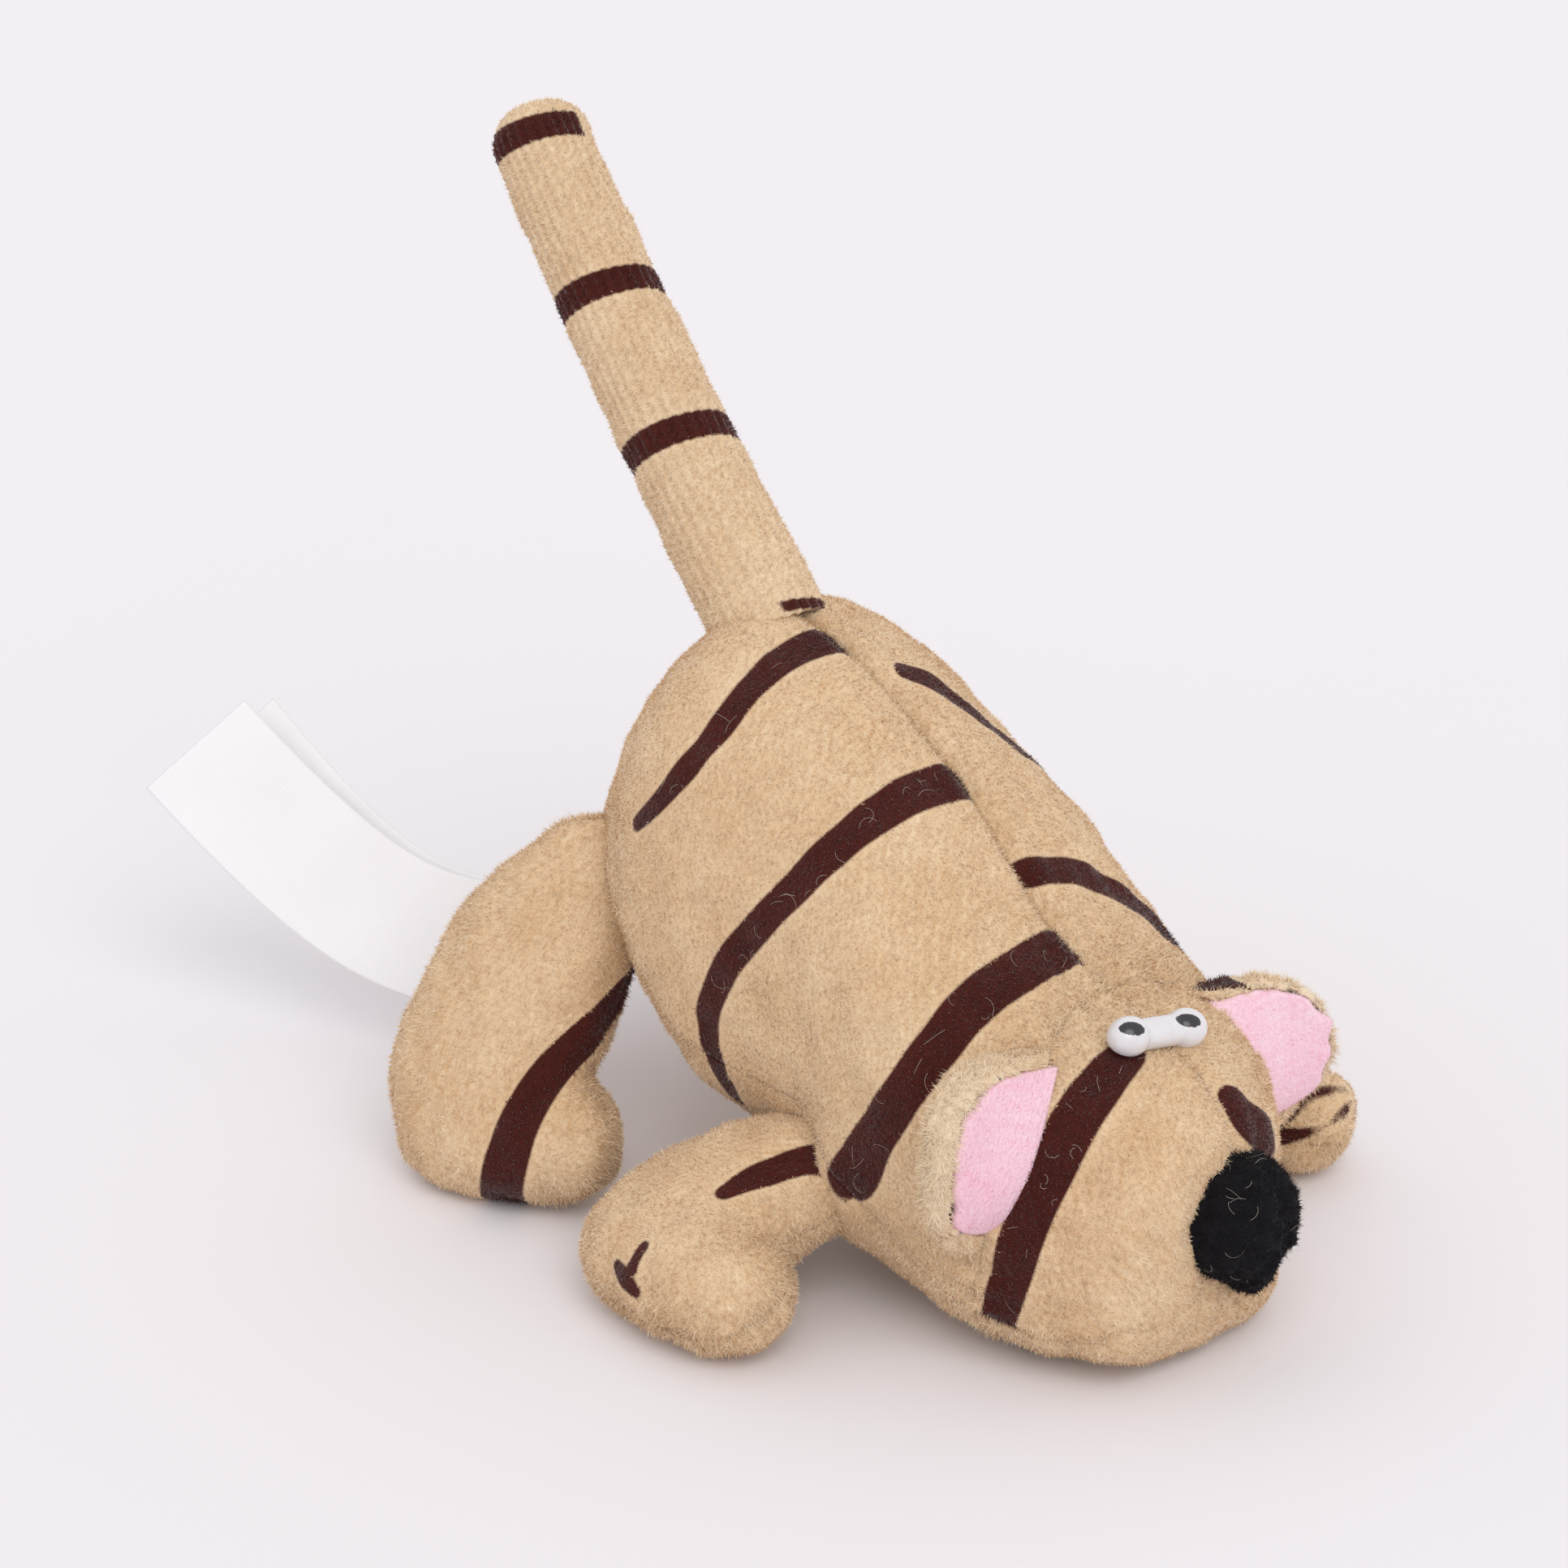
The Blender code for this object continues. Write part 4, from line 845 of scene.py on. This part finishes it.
points, share, angle = tailGrid()
seamAt, seamWidth, seamDepth = tail["seam"]
inward = rolled(np.minimum(np.abs(angle - seamAt), 1.0) * tail["tipRadius"], seamWidth, seamDepth)
inward = inward - tail["lumps"] * waves(points, tail["lumpLength"], 5)
tailRoot = joints["tail_root"]
plush("tailSleeve", points - facing(points) * inward[..., None],
      ("body", "tail", tuple(tailRoot - tail["rootRadius"] * upward * 0.7),
       tuple(tailRoot + tail["rootRadius"] * upward)),
      ("tail_cover", "tail_filling"), "tan_pile",
      {"apart": ringDistance(share, angle), "pale": np.full(points.shape[:2], tail["pale"])}, 131)
print("tail sewn")


ear = {
    "share": 0.834, "angle": radians(63), "thickness": 0.0064, "cloth": 0.0006,
    "footAngles": (30, 34, 49, 63, 77, 90, 96),
    "footShares": (0.786, 0.796, 0.820, 0.830, 0.827, 0.808, 0.792),
    "footEnds": (radians(33), radians(93)), "sunk": 0.0016, "cup": 0.0014,
    "bend": (0.001, 0.0055), "lumps": 0.0002, "lumpLength": 0.005, "pile": 1.4, "rimPile": 0.9,
    "rimPale": 0.55, "recess": 0.0024, "recessEdge": 0.0012,
    "liningBreadth": 0.9, "liningWaves": (0.05, 0.03), "liningSunk": 0.0002,
    "liningEdge": 0.0010, "liningPile": 0.75, "liningLift": (radians(15), radians(40)),
    "left": {"height": 0.0155, "lining": 0.92, "skew": 0.0, "power": 2.9, "liningPower": 3.2,
             "curl": 0.0022, "standing": (0.98, 0, -0.02)},
    "right": {"height": 0.0155, "lining": 0.80, "skew": 0.32, "power": 3.2, "liningPower": 3.4,
              "curl": 0.0006, "standing": (-0.97, 0, 0.22)},
    # print on the left ear's back: middle and half size across and up, and how far forward
    "patch": {"across": (0.93, 0.19), "height": (0.15, 0.36), "turn": 0.85 * pi},
}


def earPoint(side, across, height, off):
    # across runs -1 to 1 up the foot line on the head, height stands out from it, off is forward
    low, high = ear["footEnds"]
    angle = high + (low - high) * (across + 1) / 2
    share = through(np.radians(ear["footAngles"]), ear["footShares"], angle)
    foot = bagPoint(share, (1 if side == "left" else -1) * angle)
    out = unit(np.array(ear[side]["standing"]))
    raised = np.clip(height / ear[side]["height"], 0, 1.2)
    ahead = off + ear[side]["curl"] * np.clip(across, 0, 1) ** 1.5 * raised
    ahead = ahead - ear["cup"] * (1 - across**2) * np.sin(pi * raised / 1.2)
    return foot + (height - ear["sunk"])[..., None] * out + ahead[..., None] * forward


def earReach(side, across, share, key="power"):
    # superellipse over the foot line, leaning to the upper end
    power = ear[side][key]
    curve = (1 - np.clip(np.abs(across), 0, 1) ** power) ** (1 / power)
    return (ear[side]["height"] * share + ear["sunk"]) * curve * (1 + ear[side]["skew"] * across)


def liningReach(side, across):
    return earReach(side, across / ear["liningBreadth"], ear[side]["lining"], "liningPower")


def acrossEar(count):
    # -1 to 1, crowded at the ends
    return np.sin(np.linspace(-1, 1, count) * pi / 2 * 0.999)[None, :]


def earBack(side):
    # tan pillow: each column runs up the back, round the fat rim and down under the lining
    turn = np.linspace(0.02, pi - 0.02, 90)[:, None]
    turn, across = np.broadcast_arrays(turn, acrossEar(80))
    top = earReach(side, across, 1.0)
    height = top * np.sin(turn) ** 0.5
    full = (top / top.max()) ** 0.5
    off = -ear["thickness"] / 2 * full * np.sign(np.cos(turn)) * np.abs(np.cos(turn)) ** 0.6
    covered = np.clip((liningReach(side, across) - height) / ear["recessEdge"] + 0.5, 0, 1)
    covered = covered * (turn > pi / 2)
    points = earPoint(side, across, height, off - covered * ear["recess"])
    return points, height / ear[side]["height"], across, turn


def earLining(side):
    # pink sheet on the front, its free edge wavy
    across = acrossEar(70) * ear["liningBreadth"]
    rise = np.linspace(0, 1, 44)[:, None]
    wave = (1 + ear["liningWaves"][0] * np.sin(across * 6 + 1)
            + ear["liningWaves"][1] * np.sin(across * 15))
    height = rise * liningReach(side, across) * wave
    full = (earReach(side, across, 1.0) / ear[side]["height"]).clip(0, 1) ** 0.5
    off = ear["thickness"] / 2 * full - ear["liningSunk"] - ear["liningEdge"] * rise**24
    return earPoint(side, np.broadcast_to(across, height.shape), height, off)


def earPiece(name, node, side, patch, seed):
    turn = 1 if side == "left" else -1
    foot, normal, tangent = onBag(ear["share"], turn * ear["angle"])
    out = normal - forward * (normal @ forward)
    out = unit(out - tangent * (out @ tangent))
    bodies = ("head", node, *(tuple(foot + out * reach) for reach in ear["bend"]))
    points, height, across, turn = earBack(side)
    lumps = ear["lumps"] * waves(points, ear["lumpLength"], seed)
    points = points + facing(points) * lumps[..., None]
    raised = np.clip(height, 0, 1)
    fields = {"pile": ear["pile"] + ear["rimPile"] * raised**3, "pale": ear["rimPale"] * raised}
    if patch:
        apart = 0.004 * (np.hypot((across - patch["across"][0]) / patch["across"][1],
                                  (height - patch["height"][0]) / patch["height"][1]) - 1)
        fields["apart"] = np.where(turn < patch["turn"], apart, 1.0)
    plush(name + "Back", points, bodies, (f"{node}_back",), "tan_pile", fields, seed,
          thickness=ear["cloth"])
    points = earLining(side)
    ahead = 1 if facing(points)[20, 35] @ forward > 0 else -1
    plush(name + "Lining", points, bodies, (f"{node}_lining",), "pink_pile",
          {"pile": np.full(points.shape[:2], ear["liningPile"])}, seed + 1,
          thickness=ear["cloth"], front=ahead, lift=ear["liningLift"])


earPiece("earRight", "ear_right", "right", None, 151)
earPiece("earLeft", "ear_left", "left", ear["patch"], 163)
print("ears sewn")


nose = {
    "radius": 0.0090, "depth": 0.0078, "flatter": 0.15, "lobe": 0.0034, "lobeTurn": 0.16,
    "lobeWidth": 0.27, "sunk": 0.0014, "aside": 0.0012, "drop": 0.0004, "roundPower": 0.9,
    "crease": 0.0011, "creaseAt": 0.0024, "creaseWidth": 0.0011, "lumps": 0.0003,
    "pile": 1.25, "lift": (radians(20), radians(65)),
}


def noseGrid():
    # half ellipsoid, fuller at its lower end and creased beside the middle
    tip = bagPoint(1.0, 0.0)
    centre = tip - forward * nose["sunk"] + leftward * nose["aside"] - upward * nose["drop"]
    reach = np.linspace(0.01, 1, 60)[:, None]
    turn = np.linspace(0, 2 * pi, 150)[None, :]
    around = (turn - nose["lobeTurn"] + pi) % (2 * pi) - pi
    wide = (nose["radius"] * (1 - nose["flatter"] * np.cos(turn))
            + nose["lobe"] * np.exp(-(around / nose["lobeWidth"]) ** 2))
    level = wide * np.sin(reach * pi / 2)
    ahead = (nose["depth"] + nose["sunk"]) * np.cos(reach * pi / 2) ** nose["roundPower"]
    crease = np.exp(-((level * np.sin(turn) - nose["creaseAt"]) / nose["creaseWidth"]) ** 2)
    points = (centre + (level * np.sin(turn))[..., None] * leftward
              - (level * np.cos(turn))[..., None] * upward
              + (ahead - nose["crease"] * crease)[..., None] * forward)
    normals = facing(points)
    if normals[5, 10] @ forward < 0:
        normals = -normals
    return points + normals * (nose["lumps"] * waves(points, 0.003, 7))[..., None]


plush("noseCap", noseGrid(), ("head",), ("nose_cover", "nose_filling"), "black_pile", {}, 173,
      length=nose["pile"], lift=nose["lift"])


eyes = {
    "share": 0.866, "aside": -0.0018, "spread": 0.0049, "lobe": 0.0028, "lobeLength": 0.0032,
    "bridge": 0.0022, "cut": 0.0016, "lift": 0.0004, "gaze": (-0.36, -0.52, 0.77),
    "level": (0.72, -0.69, 0.0), "turn": radians(12), "roll": radians(2),
    "pupilAcross": 0.0018, "pupilUp": 0.0010, "pupilBehind": 0.0012,
}


def eyeGrid():
    # two lobes joined by a bridge, cut flat below and turned about the line through them;
    # pupils are ellipses painted where the lobes face the gaze
    seat, out, _ = onBag(eyes["share"], 0.0)
    aside = unit(leftward - out * (leftward @ out))
    ahead = np.cross(aside, out)
    ahead = ahead if ahead @ forward > 0 else -ahead
    centre = seat + out * (eyes["lift"] + eyes["cut"] * 0.6) + aside * eyes["aside"]
    aside = aside * cos(eyes["turn"]) + ahead * sin(eyes["turn"])
    aside = aside * cos(eyes["roll"]) - out * sin(eyes["roll"])
    out = unit(out - aside * (out @ aside))
    ahead = np.cross(aside, out)
    ahead = ahead if ahead @ forward > 0 else -ahead
    place = -(eyes["spread"] + eyes["lobeLength"]) * np.cos(np.linspace(0, pi, 161)[1:-1])
    beyond = np.clip(np.abs(np.abs(place) - eyes["spread"]) / eyes["lobeLength"], 0, 1)
    lobe = eyes["lobe"] * np.sqrt(1 - beyond**2)
    radius = np.where(np.abs(place) < eyes["spread"], np.maximum(lobe, eyes["bridge"]), lobe)
    angle = np.linspace(0, 2 * pi, 121)[None, :-1]
    up = np.maximum(radius[:, None] * np.sin(angle), -eyes["cut"])
    level = radius[:, None] * np.cos(angle)
    points = centre + place[:, None, None] * aside + level[..., None] * ahead + up[..., None] * out
    pupil = np.zeros(points.shape[:2])
    look = unit(np.array(eyes["gaze"]))
    level = unit(np.array(eyes["level"]) - look * (look @ np.array(eyes["level"])))
    for lobeSide in (-1, 1):
        gap = points - (centre + aside * lobeSide * eyes["spread"] + look * eyes["lobe"])
        near = ((gap @ level / eyes["pupilAcross"]) ** 2
                + (gap @ np.cross(look, level) / eyes["pupilUp"]) ** 2)
        pupil = np.maximum(pupil, (near < 1) & (gap @ look > -eyes["pupilBehind"]))
    return points, pupil


def eyePiece():
    # the grid closed round, with a point at each end
    points, pupil = eyeGrid()
    rows, columns = points.shape[:2]
    count = rows * columns
    i, j = 80, 30
    normal = np.cross(points[i + 1, j] - points[i, j], points[i, j + 1] - points[i, j])
    flip = bool(facing(points)[i, j] @ normal > 0)
    faces = gridFaces(rows, columns, 0, True, flip).tolist()
    for k, edge in enumerate((np.arange(columns), np.arange(count - columns, count))):
        following = np.roll(edge, -1 if flip ^ bool(k) else 1)
        faces += np.stack([np.full(columns, count + k), edge, following], -1).tolist()
    ends = np.stack([points[0].mean(0), points[-1].mean(0)])
    mesh = bpy.data.meshes.new("eyeMoulding")
    mesh.from_pydata(np.concatenate([points.reshape(-1, 3), ends]).tolist(), [], faces)
    mesh.attributes.new("pupil", "FLOAT", "POINT").data.foreach_set(
        "value", np.concatenate([pupil.ravel(), [0, 0]]).astype(np.float32))
    mesh.polygons.foreach_set("use_smooth", np.ones(len(mesh.polygons), bool))
    mesh.materials.append(finishes["eye"])
    mesh.update()
    piece = put("eyeMoulding", mesh)
    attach(piece, "head")
    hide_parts("eye_pair")


eyePiece()
print("nose and eyes made")


label = {
    "length": 0.099, "width": 0.020, "thickness": 0.0004, "clearance": 0.0003,
    "endSpread": 0.0022, "backShare": 0.97, "slip": 0.0036, "turn": radians(30),
    "pitch": (-0.74, -0.62, -0.3, 0.06, 0.36, 0.47, 0.52),
    "roll": (1, 0.85, 0.6, 0.42, 0.36, 0.35, 0.37), "turns": (0, 0.65, 1, 1, 1, 1, 1),
    "ripple": 0.00012, "rippleLength": 0.018,
}


def ribbon(name, node, side, endShift, lengthShare, slip, seed):
    # the middle line follows its slope, the width a roll about that line; the end slips sideways
    count = 240
    stations = np.linspace(0, 1, len(label["pitch"]))
    share = np.linspace(0, lengthShare, count)
    pitch = pi / 2 * through(stations, label["pitch"], share)
    roll = pi / 2 * through(stations, label["roll"], share)
    turn = label["turn"] * through(stations, label["turns"], share)[:, None]
    level = -forward * np.cos(turn) - leftward * np.sin(turn)
    beside = leftward * np.cos(turn) - forward * np.sin(turn)
    ahead = np.cos(pitch)[:, None] * level + np.sin(pitch)[:, None] * upward
    over = np.cos(pitch)[:, None] * upward - np.sin(pitch)[:, None] * level
    wide = np.sin(roll)[:, None] * beside + np.cos(roll)[:, None] * over
    face = np.cross(ahead, wide)
    shift = side * (label["thickness"] + label["clearance"]) / 2
    step = label["length"] * lengthShare / (count - 1)
    path = joints["label_root"] + (np.cumsum(ahead, axis=0) - ahead[0]) * step
    path = path + (shift + (endShift - shift) * share[:, None] ** 3) * face
    path = path + (slip * share[:, None] ** 2) * wide
    across = np.linspace(-0.5, 0.5, 41)[None, :, None] * label["width"]
    points = path[:, None, :] + across * wide[:, None, :]
    ripple = label["ripple"] * waves(points, label["rippleLength"], seed)
    ripple = ripple * np.clip(share * 4, 0, 1)[:, None]
    points = points + ripple[..., None] * face[:, None, :]
    half = face[:, None, :] * label["thickness"] / 2
    piece = shell(name, points + half, points - half, finishes["ribbon"], {})
    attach(piece, "label")
    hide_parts(node)


apart = (label["thickness"] + label["clearance"]) / 2
ribbon("labelFront", "label_front", -1, -apart, 1.0, 0.0, 191)
ribbon("labelBack", "label_back", 1, apart + label["endSpread"], label["backShare"],
       label["slip"], 193)
print("label sewn")


stray = {"width": 0.00004, "length": (0.0014, 0.0040), "bend": 3.2, "above": 0.0006,
         "bones": 12, "onPlain": 0.12}


def strayHairs(name, host, count, body, seed):
    # flat threads that curl over the pile, most on the stripes: each path turns steadily in the
    # plane of its root's skin
    rng = np.random.default_rng(seed)
    mesh = bpy.data.objects[host].data
    vertexCount = len(mesh.vertices)

    def read(items, key, width=3, kind=np.float32):
        values = np.empty(len(items) * width, kind)
        items.foreach_get(key, values)
        return values.reshape(-1, width)

    centre, normal = (read(mesh.polygons, key).astype(float) for key in ("center", "normal"))
    area = read(mesh.polygons, "area", 1)[:, 0].astype(float)
    first = read(mesh.polygons, "loop_start", 1, np.int32)[:, 0]
    corner = read(mesh.loops, "vertex_index", 1, np.int32)[first, 0]
    stripe = read(mesh.attributes["apart"].data, "value", 1)[corner, 0] < 0
    weight = area * (corner < vertexCount // 2) * (stripe + stray["onPlain"])
    chosen = rng.choice(len(area), count, p=weight / weight.sum())
    root, normal = centre[chosen], normal[chosen]
    aside = unit(np.cross(normal, unit(rng.normal(size=(count, 3)))))
    over = np.cross(normal, aside)
    along = np.linspace(0, 1, stray["bones"])[None, :, None]
    turn = rng.uniform(-stray["bend"], stray["bend"], (count, 1, 1)) * along
    length = rng.uniform(*stray["length"], (count, 1, 1))
    way = aside[:, None] * np.cos(turn) + over[:, None] * np.sin(turn)
    path = root[:, None] + np.cumsum(way, axis=1) * length / stray["bones"]
    path += normal[:, None] * stray["above"] * (0.7 + 0.6 * np.sin(along * pi))
    wide = np.cross(normal[:, None], way) * stray["width"] / 2
    strip = np.stack([path - wide, path + wide], 2)
    faces = [gridFaces(stray["bones"], 2, k * stray["bones"] * 2) for k in range(count)]
    piece = putMesh(name, strip.reshape(-1, 3), np.concatenate(faces), finishes["stray"])
    hold(piece, body)


strayHairs("strayHairsRight", "backPanelRight", 90, bodyHold, 211)
strayHairs("strayHairsFace", "facePanelRight", 26, bodyHold, 223)
strayHairs("strayHairsNose", "noseCap", 24, ("head",), 227)
print("stray hairs laid")


studio = {
    "floor": (0.860, 0.826, 0.854), "floorHalf": 4.0, "mottle": 0.985, "world": 0.85,
    "sunPower": 0.88, "sunFrom": (-0.47, -0.88, 1.05), "sunAngle": radians(42),
    "azimuth": radians(-43.77), "elevation": radians(24.92), "distance": 0.76,
    "view": radians(16.2), "target": (-0.01727, -0.04241, 0.06942),
}

size = studio["floorHalf"]
finish, _ = tonedFinish("paleFloor", 8.0, studio["floor"],
                        tuple(c * studio["mottle"] for c in studio["floor"]),
                       Roughness=0.9, Specular_IOR_Level=0.1)
points = np.array([(-size, -size, 0), (size, -size, 0), (size, size, 0), (-size, size, 0)])
putMesh("floor", points, np.array([[0, 1, 2, 3]]), finish.material, smooth=False)

# one broad soft lamp from above the camera's right shoulder
light = bpy.data.lights.new("softLamp", "SUN")
light.energy = studio["sunPower"]
light.angle = studio["sunAngle"]
put("softLamp", light).rotation_euler = Vector(studio["sunFrom"]).to_track_quat("Z", "Y").to_euler()

# even light all round; the camera, mirrors and glass see the floor's own tone
world = bpy.data.worlds.new("studio")
world.use_nodes = True
graph = Graph(world.node_tree)
rays = world.node_tree.nodes.new("ShaderNodeLightPath")
seen, mirrored, refracted = (Value(graph, rays.outputs[name]) for name in (
    "Is Camera Ray", "Is Glossy Ray", "Is Transmission Ray"))
tone = graph.blend(seen + mirrored + refracted, (studio["world"],) * 3, studio["floor"])
world.node_tree.links.new(tone.socket, world.node_tree.nodes["Background"].inputs["Color"])
bpy.context.scene.world = world

a, e = studio["azimuth"], studio["elevation"]
back = np.array([sin(a) * cos(e), -cos(a) * cos(e), sin(e)])
camera = bpy.data.cameras.new("camera")
camera.sensor_fit = "HORIZONTAL"
camera.sensor_width = camera.sensor_height = 36
camera.angle = studio["view"]
camera.clip_start = 0.01
holder = put("camera", camera)
holder.location = np.array(studio["target"]) + bagShift + back * studio["distance"]
holder.rotation_euler = Vector(-back).to_track_quat("-Z", "Y").to_euler()
bpy.context.scene.camera = holder
bpy.context.scene.view_settings.view_transform = "Standard"
print("studio set")
